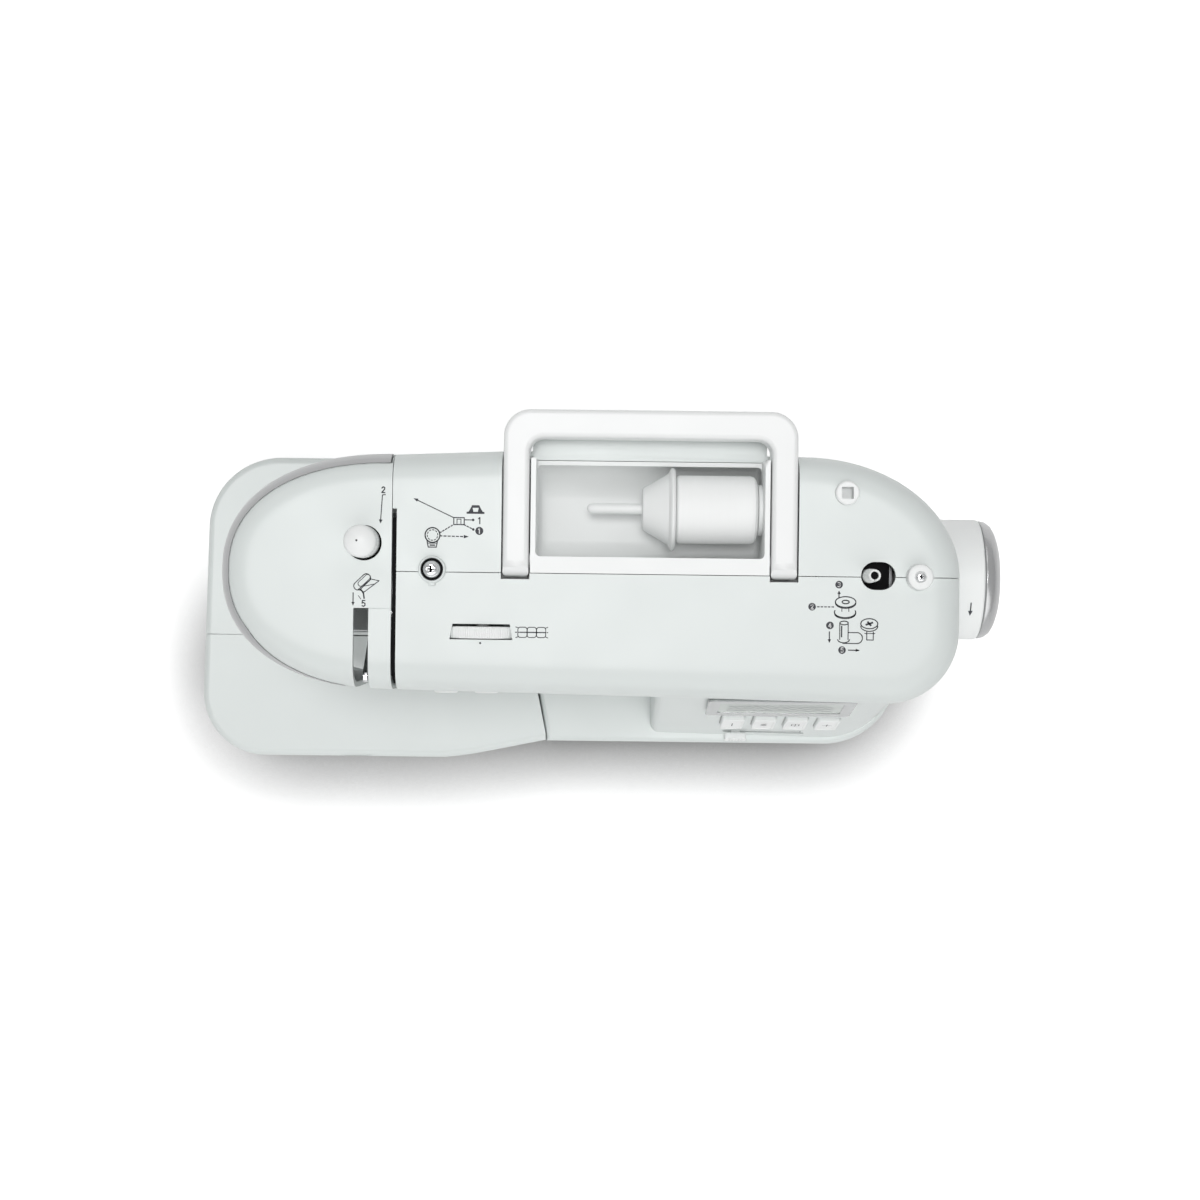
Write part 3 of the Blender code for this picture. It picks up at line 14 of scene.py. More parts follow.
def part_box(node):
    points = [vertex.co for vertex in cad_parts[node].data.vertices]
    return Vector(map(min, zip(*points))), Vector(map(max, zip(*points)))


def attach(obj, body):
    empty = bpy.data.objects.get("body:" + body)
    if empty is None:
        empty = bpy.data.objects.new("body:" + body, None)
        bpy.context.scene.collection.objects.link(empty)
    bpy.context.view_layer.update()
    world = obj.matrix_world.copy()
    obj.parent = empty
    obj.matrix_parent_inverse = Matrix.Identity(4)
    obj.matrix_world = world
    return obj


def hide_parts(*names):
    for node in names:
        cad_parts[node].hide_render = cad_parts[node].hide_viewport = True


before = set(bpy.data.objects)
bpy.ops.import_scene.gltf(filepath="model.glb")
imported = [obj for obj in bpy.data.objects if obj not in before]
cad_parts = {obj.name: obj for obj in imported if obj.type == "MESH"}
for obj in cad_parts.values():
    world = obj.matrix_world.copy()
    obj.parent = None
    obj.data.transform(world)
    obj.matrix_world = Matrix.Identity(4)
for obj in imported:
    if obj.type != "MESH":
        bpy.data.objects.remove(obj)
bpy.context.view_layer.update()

MM = 0.001
FAR = 400.0


def corners(*nodes):
    """Lowest and highest corner of some nodes together, in millimetres."""
    boxes = [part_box(node) for node in nodes]
    low = Vector([min(b[0][i] for b in boxes) for i in range(3)]) / MM
    high = Vector([max(b[1][i] for b in boxes) for i in range(3)]) / MM
    return low, high


def middle(*nodes):
    low, high = corners(*nodes)
    return (low + high) / 2


# Driving sizes, read from the frame.
body_low, body_high = corners("front_cover", "rear_cover")
face_low, face_high = corners("face_cover")
table_low = corners("accessory_tray", "accessory_lid")[0]
free_low, free_high = corners("free_arm")
handle_low, handle_high = corners("carrying_handle")
HANDLE_WIDTH = 12.0                # of each of the handle's arms
ARM_END = 9.0                      # radius of the handle arms' round ends
ARM_TOP = body_high.z
RIGHT_X = body_high.x
SEAM_Y = (corners("front_cover")[1].y + corners("rear_cover")[0].y) / 2
SEAM_HALF = 0.17                   # half the gap between two covers
HEAD_X = face_high.x + 0.15
TRAY_X = (handle_low.x + HANDLE_WIDTH + 0.7, handle_high.x - HANDLE_WIDTH - 0.7)
TRAY_Y = (SEAM_Y + 0.15, corners("spool_tray")[1].y)
TRAY_FLOOR = corners("spool_tray")[0].z
HEAD_LENGTH = HEAD_X - face_low.x
HEAD_HALF = SEAM_Y - face_low.y
END_SHORT = 5.5                    # how much shorter the rounded end is drawn than the solid model's
END_FULLNESS = 2.25                # 2 is an ellipse, more is fuller at the shoulders
HEAD_BOTTOM = face_low.z
NEEDLE_X = middle("needle").x
NEEDLE_Y = middle("needle").y
PRESSER_Y = middle("presser_bar").y
ARM_BOTTOM = ARM_TOP - 94.0
HARP_LEFT = HEAD_X + 8.0           # left end of the opening under the arm
COLUMN_LEFT = 45.0
ARM_FRONT = -46.0
FRONT_CORNER = 34.0                # radius of the arm's front right corner from above
REAR_CORNER = (72.0, 56.0)         # the same at the rear, along X and along Y
REAR_CROWN = (16.0, SEAM_Y + 59.0)    # where the arm's slightly bowed back stands out most
WALL = 2.5                         # thickness of the covers
SHOULDER = (16.0, 22.0)            # how far the top edge is rounded inwards and downwards
FULLNESS = 2.8                     # 2 rounds it as an ellipse, more keeps it fuller
LID_FLOOR_INSET = 5.6              # the table floor stops short, for the lid to tip down before it
LOW_EDGE = 4.0                     # rounding of the arm's lower edges
LEAN = 0.238                       # how far the column's front leans out for each millimetre down
COLUMN_STEP = 0.4                  # how far the column's front stands before the arm's
BED_Z = free_high.z
BASE_BOTTOM = body_low.z
BASE_FRONT = body_low.y
BASE_REAR = body_high.y
BASE_LEFT = free_high.x + 0.12
SLIDE_GAP = 0.4                    # gap round the free arm and beside the base, for the table to slide
SEAM_BEND_Y = -50.0                # where the seam between base and table bends as it nears the front
BED_CORNER = 35.0                  # radius of the table's front left corner from above
BASE_CORNER = 42.0                 # and of the base's front right one
BASE_REAR_CORNER = (60.0, 50.0)


# ---------------------------------------------------------------- modelling by hand

SMOOTH_ANGLE = 30.0                # edges flatter than this, in degrees, are shaded smooth
SHARP_ANGLE = 40.0                 # edges sharper than this are bevelled


def deselect():
    bpy.ops.object.select_all(action="DESELECT")


def choose(obj):
    """Makes one object the only one selected, and the active one."""
    deselect()
    obj.select_set(True)
    bpy.context.view_layer.objects.active = obj


def settle(obj):
    """Puts an object's own place and turn into its mesh."""
    choose(obj)
    bpy.ops.object.transform_apply(location=True, rotation=True, scale=True)
    return obj


def edit(obj):
    """Opens one object for editing with everything in it selected."""
    choose(obj)
    bpy.ops.object.mode_set(mode="EDIT")
    bpy.ops.mesh.select_all(action="SELECT")


def close(obj):
    """Leaves edit mode, puts the piece's place into its mesh and shades it."""
    bpy.ops.object.mode_set(mode="OBJECT")
    bpy.ops.object.transform_apply(location=True, rotation=True, scale=True)
    bpy.ops.object.shade_smooth_by_angle(angle=math.radians(SMOOTH_ANGLE))
    return obj


def take(name):
    """Names the primitive just added, fixes its size in its mesh and opens it."""
    obj = bpy.context.object
    obj.name = name
    obj.data.name = name
    bpy.ops.object.transform_apply(location=False, rotation=False, scale=True)
    edit(obj)
    return obj


def soften(width, segments=3):
    """Bevels every sharp edge of the open piece."""
    bpy.ops.mesh.select_all(action="DESELECT")
    bpy.ops.mesh.select_mode(type="EDGE")
    bpy.ops.mesh.edges_select_sharp(sharpness=math.radians(SHARP_ANGLE))
    bpy.ops.mesh.bevel(offset=width * MM, segments=segments, affect="EDGES", clamp_overlap=True)


def block(name, low, high, edge=0.5, segments=3):
    """A box with rounded edges between two corners."""
    low = Vector(low)
    high = Vector(high)
    deselect()
    bpy.ops.mesh.primitive_cube_add(size=1, location=(low + high) * MM / 2, scale=(high - low) * MM)
    obj = take(name)
    if edge:
        soften(edge, segments)
    return close(obj)


TURNS = {"X": (0.0, math.pi / 2, 0.0), "Y": (-math.pi / 2, 0.0, 0.0), "Z": (0.0, 0.0, 0.0)}
AXES = {"X": Vector((1, 0, 0)), "Y": Vector((0, 1, 0)), "Z": Vector((0, 0, 1))}


def on_axis(axis, centre, along):
    """The point in metres of the line along an axis through centre, at a place along it."""
    point = Vector(centre)
    point["XYZ".index(axis)] = along
    return point * MM


def draw_profile(name, axis, centre, profile, sides):
    """A ring of points extruded along a profile of (radius, place on the axis), left open."""
    radius, along = profile[0]
    deselect()
    bpy.ops.mesh.primitive_circle_add(vertices=sides, radius=radius * MM, rotation=TURNS[axis],
                                      location=on_axis(axis, centre, along), fill_type="NOTHING")
    obj = take(name)
    for next_radius, next_along in profile[1:]:
        step = AXES[axis] * (next_along - along) * MM
        bpy.ops.mesh.extrude_edges_move(TRANSFORM_OT_translate={"value": step})
        share = next_radius / radius
        bpy.ops.transform.resize(value=(share, share, share),
                                 center_override=on_axis(axis, centre, next_along))
        radius, along = next_radius, next_along
    return obj


def turned(name, axis, centre, profile, sides=96, edge=0.3, hollow=False):
    """A turned piece, solid with flat ends, or hollow with its profile closed on itself."""
    if hollow:
        obj = draw_profile(name, axis, centre, list(profile) + [profile[0]], sides)
        bpy.ops.mesh.select_all(action="SELECT")
        bpy.ops.mesh.remove_doubles(threshold=0.00001)
    else:
        obj = draw_profile(name, axis, centre, profile, sides)
        bpy.ops.mesh.edge_face_add()
        bpy.ops.mesh.select_all(action="DESELECT")
        bpy.ops.mesh.select_mode(type="EDGE")
        bpy.ops.mesh.select_non_manifold()
        bpy.ops.mesh.edge_face_add()
    bpy.ops.mesh.select_all(action="SELECT")
    bpy.ops.mesh.normals_make_consistent(inside=False)
    if edge:
        soften(edge)
    return even(close(obj))


def even(obj):
    """Lets the large faces rule the shading, so that flat faces look flat."""
    modifier = obj.modifiers.new("even", "WEIGHTED_NORMAL")
    modifier.keep_sharp = True
    return apply(obj, modifier)


def apply(obj, modifier):
    choose(obj)
    bpy.ops.object.modifier_apply(modifier=modifier.name)
    return obj


def combine(obj, operation, *tools):
    """Joins or cuts obj with other closed shapes, which are then gone."""
    for tool in tools:
        modifier = obj.modifiers.new("combine", "BOOLEAN")
        modifier.operation = operation
        modifier.solver = "MANIFOLD"
        modifier.object = tool
        apply(obj, modifier)
        bpy.data.objects.remove(tool)
    return obj


def cut(obj, *tools):
    return combine(obj, "DIFFERENCE", *tools)


def add(obj, *tools):
    return combine(obj, "UNION", *tools)


def copy(obj, name):
    double = obj.copy()
    double.data = obj.data.copy()
    double.name = name
    double.data.name = name
    bpy.context.scene.collection.objects.link(double)
    return double


def box(name, xs, ys, zs):
    """A plain box to cut or join with."""
    return block(name, (xs[0], ys[0], zs[0]), (xs[1], ys[1], zs[1]), 0)


def arc(cx, cy, rx, ry, start, end, steps):
    """Points of an elliptical arc, with its angles in degrees."""
    turn = [math.radians(start + (end - start) * i / steps) for i in range(steps + 1)]
    return [(cx + rx * math.cos(a), cy + ry * math.sin(a)) for a in turn]


FLAT = {"X": ((0, 0, 1), (1, 0, 0), (0, 1, 0)), "Y": ((1, 0, 0), (0, 0, 1), (0, 1, 0)),
        "Z": ((1, 0, 0), (0, 1, 0), (0, 0, 1))}


def plate(name, axis, outline, low, high, edge=0.0, segments=3):
    """A flat outline, filled and extruded along an axis between two places on it."""
    mesh = bpy.data.meshes.new(name)
    frame_rows = FLAT[axis]
    points = []
    for u, v in outline:
        local = Vector((u, v, low))
        points.append([Vector(row).dot(local) * MM for row in frame_rows])
    mesh.from_pydata(points, [], [tuple(range(len(points)))])
    obj = bpy.data.objects.new(name, mesh)
    bpy.context.scene.collection.objects.link(obj)
    edit(obj)
    bpy.ops.mesh.extrude_region_move(TRANSFORM_OT_translate={"value": AXES[axis] * (high - low) * MM})
    bpy.ops.mesh.select_all(action="SELECT")
    bpy.ops.mesh.normals_make_consistent(inside=False)
    if edge:
        soften(edge, segments)
    close(obj)
    return even(obj) if edge else obj


def loft(name, rings):
    """A closed solid through rings of points in millimetres, for the body's doubly curved covers."""
    bm = bmesh.new()
    loops = [[bm.verts.new(Vector(point) * MM) for point in ring] for ring in rings]
    count = len(loops[0])
    for low, high in zip(loops, loops[1:]):
        for i in range(count):
            j = (i + 1) % count
            bm.faces.new((low[i], low[j], high[j], high[i]))
    bm.faces.new(list(reversed(loops[0])))
    bm.faces.new(loops[-1])
    bmesh.ops.recalc_face_normals(bm, faces=bm.faces)
    mesh = bpy.data.meshes.new(name)
    bm.to_mesh(mesh)
    bm.free()
    obj = bpy.data.objects.new(name, mesh)
    bpy.context.scene.collection.objects.link(obj)
    return obj


def joined(name, objects):
    """Several closed shapes kept as one piece."""
    deselect()
    for obj in objects:
        obj.select_set(True)
    bpy.context.view_layer.objects.active = objects[0]
    bpy.ops.object.join()
    objects[0].name = name
    objects[0].data.name = name
    return objects[0]


# ---------------------------------------------------------------- finishes

def shader_group(name, inputs, outputs):
    """An empty node group with named float inputs and outputs, and its two end nodes."""
    tree = bpy.data.node_groups.new(name, "ShaderNodeTree")
    for label, value in inputs.items():
        socket = tree.interface.new_socket(name=label, in_out="INPUT", socket_type="NodeSocketFloat")
        socket.default_value = value
    for label in outputs:
        tree.interface.new_socket(name=label, in_out="OUTPUT", socket_type="NodeSocketFloat")
    return tree, tree.nodes.new("NodeGroupInput"), tree.nodes.new("NodeGroupOutput")


def noise(tree, vector, scale, detail=3.0, rough=0.55):
    node = tree.nodes.new("ShaderNodeTexNoise")
    node.inputs["Scale"].default_value = scale
    node.inputs["Detail"].default_value = detail
    node.inputs["Roughness"].default_value = rough
    tree.links.new(vector, node.inputs["Vector"])
    return node.outputs["Fac"]


def maths(tree, operation, a, b):
    node = tree.nodes.new("ShaderNodeMath")
    node.operation = operation
    for socket, value in zip(node.inputs, (a, b)):
        if isinstance(value, (int, float)):
            socket.default_value = value
        else:
            tree.links.new(value, socket)
    return node.outputs[0]


def make_grain():
    """Fine sparked texture of a mould, with slow cloudy changes of tone."""
    tree, start, end = shader_group("moulded_grain", {"Grain per mm": 2.5}, ("Height", "Tone", "Gloss"))
    place = tree.nodes.new("ShaderNodeTexCoord").outputs["Object"]
    scaled = tree.nodes.new("ShaderNodeVectorMath")
    scaled.operation = "SCALE"
    tree.links.new(place, scaled.inputs[0])
    tree.links.new(maths(tree, "MULTIPLY", start.outputs[0], 1 / MM), scaled.inputs["Scale"])
    fine = noise(tree, scaled.outputs[0], 1.0, 2.0)
    coarse = noise(tree, scaled.outputs[0], 0.22, 2.0)
    height = maths(tree, "ADD", fine, maths(tree, "MULTIPLY", coarse, 0.6))
    tree.links.new(height, end.inputs["Height"])
    tree.links.new(noise(tree, place, 14.0, 4.0), end.inputs["Tone"])
    tree.links.new(noise(tree, place, 45.0, 5.0), end.inputs["Gloss"])
    return tree


def make_brushed():
    """Long fine scratches along one direction, given as a stretch along each axis."""
    tree, start, end = shader_group("brushed_lines", {"Along X": 1.0, "Along Y": 1.0, "Along Z": 1.0},
                                    ("Height", "Tone", "Gloss"))
    place = tree.nodes.new("ShaderNodeTexCoord").outputs["Object"]
    stretch = tree.nodes.new("ShaderNodeCombineXYZ")
    for i in range(3):
        tree.links.new(start.outputs[i], stretch.inputs[i])
    product = tree.nodes.new("ShaderNodeVectorMath")
    product.operation = "MULTIPLY"
    tree.links.new(place, product.inputs[0])
    tree.links.new(stretch.outputs[0], product.inputs[1])
    lines = noise(tree, product.outputs[0], 1.0, 4.0, 0.7)
    tree.links.new(lines, end.inputs["Height"])
    tree.links.new(noise(tree, product.outputs[0], 0.35, 2.0), end.inputs["Tone"])
    tree.links.new(noise(tree, place, 60.0, 3.0), end.inputs["Gloss"])
    return tree


def make_turned_lines():
    """Fine rings round a shaft or wheel that lies along X, left by turning and polishing."""
    tree, start, end = shader_group("turned_lines", {"Centre Y": 0.0, "Centre Z": 0.0, "Rings per mm": 4.0},
                                    ("Height", "Tone", "Gloss"))
    place = tree.nodes.new("ShaderNodeTexCoord").outputs["Object"]
    parts = tree.nodes.new("ShaderNodeSeparateXYZ")
    tree.links.new(place, parts.inputs[0])
    away_y = maths(tree, "SUBTRACT", parts.outputs[1], start.outputs[0])
    away_z = maths(tree, "SUBTRACT", parts.outputs[2], start.outputs[1])
    radius = maths(tree, "SQRT", maths(tree, "ADD", maths(tree, "MULTIPLY", away_y, away_y),
                                       maths(tree, "MULTIPLY", away_z, away_z)), 0.0)
    ring = tree.nodes.new("ShaderNodeCombineXYZ")
    tree.links.new(radius, ring.inputs[0])
    tree.links.new(parts.outputs[0], ring.inputs[1])
    scaled = tree.nodes.new("ShaderNodeVectorMath")
    scaled.operation = "SCALE"
    tree.links.new(ring.outputs[0], scaled.inputs[0])
    tree.links.new(maths(tree, "MULTIPLY", start.outputs[2], 1 / MM), scaled.inputs["Scale"])
    lines = noise(tree, scaled.outputs[0], 1.0, 3.0, 0.7)
    tree.links.new(lines, end.inputs["Height"])
    tree.links.new(noise(tree, scaled.outputs[0], 0.2, 2.0), end.inputs["Tone"])
    tree.links.new(noise(tree, place, 60.0, 3.0), end.inputs["Gloss"])
    return tree


GRAIN = make_grain()
BRUSHED = make_brushed()
TURNED = make_turned_lines()


def finish(name, colour, roughness, group, values, metallic=0.0, bump=0.02, strength=0.25, tone=0.04,
           gloss=0.12, **shader_values):
    """A material whose tone, gloss and fine relief come from one of the shared effects."""
    material = bpy.data.materials.new(name)
    material.use_nodes = True
    tree = material.node_tree
    shader = tree.nodes["Principled BSDF"]
    shader.inputs["Metallic"].default_value = metallic
    for label, value in shader_values.items():
        shader.inputs[label.replace("_", " ")].default_value = value
    effect = tree.nodes.new("ShaderNodeGroup")
    effect.node_tree = group
    for label, value in values.items():
        effect.inputs[label].default_value = value
    ramp = tree.nodes.new("ShaderNodeMix")
    ramp.data_type = "RGBA"
    ramp.inputs["A"].default_value = (*[c * (1 - tone) for c in colour], 1)
    ramp.inputs["B"].default_value = (*[min(c * (1 + tone), 1.0) for c in colour], 1)
    tree.links.new(effect.outputs["Tone"], ramp.inputs["Factor"])
    tree.links.new(ramp.outputs["Result"], shader.inputs["Base Color"])
    spread = tree.nodes.new("ShaderNodeMapRange")
    spread.inputs["To Min"].default_value = roughness * (1 - gloss)
    spread.inputs["To Max"].default_value = roughness * (1 + gloss)
    tree.links.new(effect.outputs["Gloss"], spread.inputs["Value"])
    tree.links.new(spread.outputs["Result"], shader.inputs["Roughness"])
    relief = tree.nodes.new("ShaderNodeBump")
    relief.inputs["Strength"].default_value = strength
    relief.inputs["Distance"].default_value = bump * MM
    tree.links.new(effect.outputs["Height"], relief.inputs["Height"])
    tree.links.new(relief.outputs["Normal"], shader.inputs["Normal"])
    return material


def plastic(name, colour, roughness, grain=2.5, **options):
    return finish(name, colour, roughness, GRAIN, {"Grain per mm": grain}, **options)


def brushed(name, colour, roughness, along, **options):
    values = dict(zip(("Along X", "Along Y", "Along Z"), along))
    return finish(name, colour, roughness, BRUSHED, values, metallic=1.0, **options)


def lathed(name, colour, roughness, centre, rings=4.0, **options):
    values = {"Centre Y": centre.y * MM, "Centre Z": centre.z * MM, "Rings per mm": rings}
    return finish(name, colour, roughness, TURNED, values, metallic=1.0, **options)


BODY = plastic("body_white_plastic", (0.69, 0.73, 0.718), 0.36, tone=0.012, bump=0.012)
SATIN = plastic("soft_white_plastic", (0.85, 0.865, 0.86), 0.46, tone=0.015, bump=0.02)
# The tray is the body's white plastic, drawn lighter than the body's colour as painted light to lift its
# shaded trough.
TRAY_PAINTED_LIGHT = plastic("spool_tray_painted_light", (0.85, 0.865, 0.86), 0.42, tone=0.012, bump=0.015)
# Near-black with little shine, put in slots, holes and gaps as painted shade.
PAINTED_SHADE = plastic("painted_shade_black", (0.006, 0.006, 0.007), 0.7, tone=0.2, bump=0.02,
                Specular_IOR_Level=0.1)
# The handle is the body's white plastic, drawn lighter than the body's colour as painted light.
HANDLE_PAINTED_LIGHT = plastic("handle_painted_light_white", (0.83, 0.84, 0.838), 0.38, tone=0.012, bump=0.014)
BLACK = plastic("black_plastic", (0.022, 0.022, 0.024), 0.42, tone=0.15, bump=0.02)
SMOKE = plastic("display_bezel", (0.34, 0.36, 0.36), 0.16, tone=0.05, bump=0.004, Coat_Weight=0.5)
SCREEN = plastic("display_glass", (0.33, 0.39, 0.35), 0.12, grain=1.0, tone=0.05, bump=0.004,
                 Coat_Weight=0.6)
INK = plastic("printing_ink", (0.035, 0.037, 0.045), 0.6, tone=0.2, bump=0.01)
PALE_INK = plastic("pale_ink", (0.80, 0.81, 0.81), 0.6, tone=0.02, bump=0.01)
CLEAR = plastic("clear_plastic", (0.90, 0.93, 0.93), 0.12, tone=0.02, bump=0.004, gloss=0.3,
                Transmission_Weight=0.75, IOR=1.46)
RUBBER = plastic("foot_rubber", (0.05, 0.05, 0.052), 0.82, grain=1.6, tone=0.12, bump=0.04, strength=0.5)
BELT = brushed("belt_rubber", (0.03, 0.03, 0.03), 0.75, (3000, 120, 120), tone=0.2, bump=0.05)
BELT.node_tree.nodes["Principled BSDF"].inputs["Metallic"].default_value = 0.0
CAST = plastic("cast_aluminium", (0.42, 0.43, 0.44), 0.52, grain=1.2, metallic=0.85, tone=0.12, bump=0.08,
               strength=0.5)
MOTOR_BLACK = plastic("motor_paint", (0.05, 0.05, 0.055), 0.4, grain=1.8, metallic=0.3, tone=0.12,
                      bump=0.03)
BAND = brushed("brushed_band", (0.50, 0.505, 0.51), 0.30, (50, 50, 3500), tone=0.10, bump=0.01)
STEEL = brushed("ground_steel", (0.60, 0.61, 0.62), 0.26, (400, 400, 400), tone=0.08, bump=0.01)
BAR_STEEL = brushed("polished_bar_steel", (0.64, 0.65, 0.66), 0.18, (200, 200, 2600), tone=0.06, bump=0.006)
PLATE_STEEL = brushed("needle_plate_steel", (0.60, 0.61, 0.62), 0.24, (60, 3800, 60), tone=0.08, bump=0.008)
CHROME = brushed("chromed_steel", (0.70, 0.71, 0.72), 0.10, (300, 300, 300), tone=0.05, bump=0.004)
WHEEL_BAND = lathed("brushed_wheel_band", (0.52, 0.525, 0.53), 0.26, middle("handwheel_ring"), 5.0,
                    tone=0.10, bump=0.01)
SHAFT_STEEL = lathed("turned_shaft_steel", (0.58, 0.59, 0.60), 0.28, middle("upper_shaft"), 3.0, tone=0.1,
                     bump=0.02)
PULLEY_STEEL = lathed("turned_pulley_steel", (0.55, 0.56, 0.57), 0.3, middle("motor_pulley"), 3.0, tone=0.1,
                      bump=0.02)
THREAD = brushed("cotton_thread", (0.90, 0.91, 0.905), 0.7, (3300, 130, 130), tone=0.015, bump=0.06,
                 strength=0.4, Sheen_Weight=0.2)
THREAD.node_tree.nodes["Principled BSDF"].inputs["Metallic"].default_value = 0.0


def wear(obj, material):
    """Gives a piece one material."""
    obj.data.materials.clear()
    obj.data.materials.append(material)
    return obj


def stand_for(obj, material, slot, body, *nodes):
    """Finishes a new piece: its material, its body and the nodes it stands for; slot is not used."""
    wear(obj, material)
    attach(obj, body)
    if nodes:
        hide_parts(*nodes)
    return obj


# ---------------------------------------------------------------- body covers

def head_point(turn, inset):
    """A point of the head's rounded end from above, at an angle in degrees, drawn in by inset."""
    slope = math.radians(turn)
    along, across = (math.copysign(abs(part) ** (2 / END_FULLNESS), part)
                     for part in (math.cos(slope), math.sin(slope)))
    return HEAD_X + (HEAD_LENGTH - END_SHORT - inset) * along, SEAM_Y + (HEAD_HALF - inset) * across


def arm_outline(inset):
    """The arm and head from above, drawn in by inset."""
    right = RIGHT_X - inset
    corner = FRONT_CORNER - inset
    head = [head_point(90 + 180 * i / 80, inset) for i in range(81)]
    front = arc(right - corner, ARM_FRONT + inset + corner, corner, corner, 270, 360, 20)
    rear = arc(RIGHT_X - REAR_CORNER[0], SEAM_Y, REAR_CORNER[0] - inset, REAR_CORNER[1] - inset, 0, 90, 32)
    return head + front + rear + [(REAR_CROWN[0], REAR_CROWN[1] - inset)]


def at_height(outline, z):
    return [(x, y, z) for x, y in outline]


def shoulder_point(turn, lift=0.0):
    """(inset, drop) on the rounded top edge at an angle in degrees, lifted off it by a distance."""
    slope = math.radians(turn)
    power = 2 / FULLNESS
    inset = SHOULDER[0] * (1 - math.cos(slope) ** power)
    drop = SHOULDER[1] * (1 - math.sin(slope) ** power)
    return inset - lift * math.cos(slope), drop - lift * math.sin(slope)


def shoulder(top, wall):
    """(height, inset) pairs of the body's rounded top edge."""
    steps = 22
    pairs = [shoulder_point(90 * i / steps) for i in range(steps)] + [(SHOULDER[0], 0.0)]
    return [(top - wall - drop, wall + inset) for inset, drop in pairs]


def upper_body(name, wall, below):
    """Arm and head as one solid, drawn in by wall, with the harp space cut away."""
    rings = [at_height(arm_outline(wall), HEAD_BOTTOM - below)]
    if not below:
        rings = [at_height(arm_outline(LOW_EDGE * (1 - math.sin(math.radians(a)))),
                           HEAD_BOTTOM + LOW_EDGE * (1 - math.cos(math.radians(a))))
                 for a in range(0, 91, 15)]
    rings += [at_height(arm_outline(inset), z) for z, inset in shoulder(ARM_TOP, wall)]
    body = loft(name, rings)
    cut(body, box("harp", (HARP_LEFT - wall, FAR), (-FAR, FAR), (0, ARM_BOTTOM + wall)))
    if not below:
        round_harp_edges(body)
    return body


def round_harp_edges(body):
    """Rounds the arm's lower edges and the head's upright ones beside the harp space."""
    edit(body)
    bpy.ops.mesh.select_all(action="DESELECT")
    bpy.ops.mesh.select_mode(type="EDGE")
    shape = bmesh.from_edit_mesh(body.data)
    for edge in shape.edges:
        a, b = (v.co / MM for v in edge.verts)
        low = all(abs(p.z - ARM_BOTTOM) < 0.01 and p.x > HARP_LEFT + 0.01 for p in (a, b))
        upright = all(abs(p.x - HARP_LEFT) < 0.01 and p.z < ARM_BOTTOM + 0.01 for p in (a, b))
        outer = edge.is_manifold and edge.calc_face_angle(0.0) > math.radians(40)
        edge.select = outer and (low or (upright and abs(a.z - b.z) > 1.0))
    bmesh.update_edit_mesh(body.data)
    bpy.ops.mesh.bevel(offset=LOW_EDGE * MM, segments=5, affect="EDGES", clamp_overlap=True)
    bpy.ops.object.mode_set(mode="OBJECT")


def column_front(z):
    """Where the leaning front of the column stands at a height."""
    return ARM_FRONT - COLUMN_STEP - (ARM_BOTTOM - z) * LEAN


def column_ring(z, inset):
    share = (ARM_BOTTOM - z) / (ARM_BOTTOM - BED_Z)
    corner = FRONT_CORNER + (BASE_CORNER - FRONT_CORNER) * share - inset
    front = column_front(z) + inset
    right = RIGHT_X - 0.03 - 0.27 * max(share, 0) - inset
    left = COLUMN_LEFT + inset
    centre_x = RIGHT_X - REAR_CORNER[0]
    rear = SEAM_Y + REAR_CORNER[1] + 1.7 - inset
    small = 5.0 if not inset else 3.0
    outline = arc(left + small, front + 1.8 + small, small, small, 180, 270, 6)
    outline += arc(right - corner, front + corner, corner, corner, 270, 360, 20)
    outline += arc(centre_x, SEAM_Y, right - centre_x, REAR_CORNER[1] - 0.03 - inset, 0, 90, 32)
    outline += arc(left + small, rear - small, small, small, 90, 180, 6)
    return at_height(outline, z)


def column_body(name, wall):
    return loft(name, [column_ring(z, wall) for z in (BED_Z - 12, BED_Z + 30, ARM_BOTTOM, ARM_BOTTOM + 8)])


def base_outline(inset):
    """The base from its front left corner round the right to its rear left corner."""
    corner = BASE_CORNER - inset
    rear_x, rear_y = BASE_REAR_CORNER
    outline = [(BASE_LEFT + inset, SEAM_BEND_Y), (BASE_LEFT + 5.0 + inset, BASE_FRONT + inset)]
    outline += arc(RIGHT_X - BASE_CORNER, BASE_FRONT + BASE_CORNER, corner, corner, 270, 360, 24)
    outline += arc(RIGHT_X - rear_x, BASE_REAR - rear_y, rear_x - inset, rear_y - inset, 0, 90, 32)
    outline.append((BASE_LEFT + inset, BASE_REAR - inset))
    return outline


def top_edge(top, inward, down, wall):
    """(height, inset) pairs of a smaller rounded top edge."""
    steps = 6
    pairs = []
    for i in range(steps + 1):
        turn = math.radians(90 * i / steps)
        pairs.append((top - wall - down * (1 - math.sin(turn)), wall + inward * (1 - math.cos(turn))))
    return pairs


def base_body(name, wall, below):
    steps = [(BASE_BOTTOM - below, wall + (0 if below else 1.0))]
    if not below:
        steps.append((BASE_BOTTOM + 1.0, wall))
    steps += top_edge(BED_Z, 3.0, 6.0, wall)
    return loft(name, [at_height(base_outline(inset), z) for z, inset in steps])


def whole_body():
    """The hollow body before it is parted into its covers."""
    body = add(upper_body("body", 0.0, 0.0), column_body("column", 0.0), base_body("base", 0.0, 0.0))
    return cut(body, upper_body("inside_arm", WALL, 5.0), column_body("inside_column", WALL),
               base_body("inside_base", WALL, 5.0))


def parted(body, name, xs, ys):
    """The share of the body between two places along X and along Y."""
    cover = copy(body, name)
    return combine(cover, "INTERSECT", box("share", xs, ys, (-5, FAR)))


# ---------------------------------------------------------------- openings in the covers

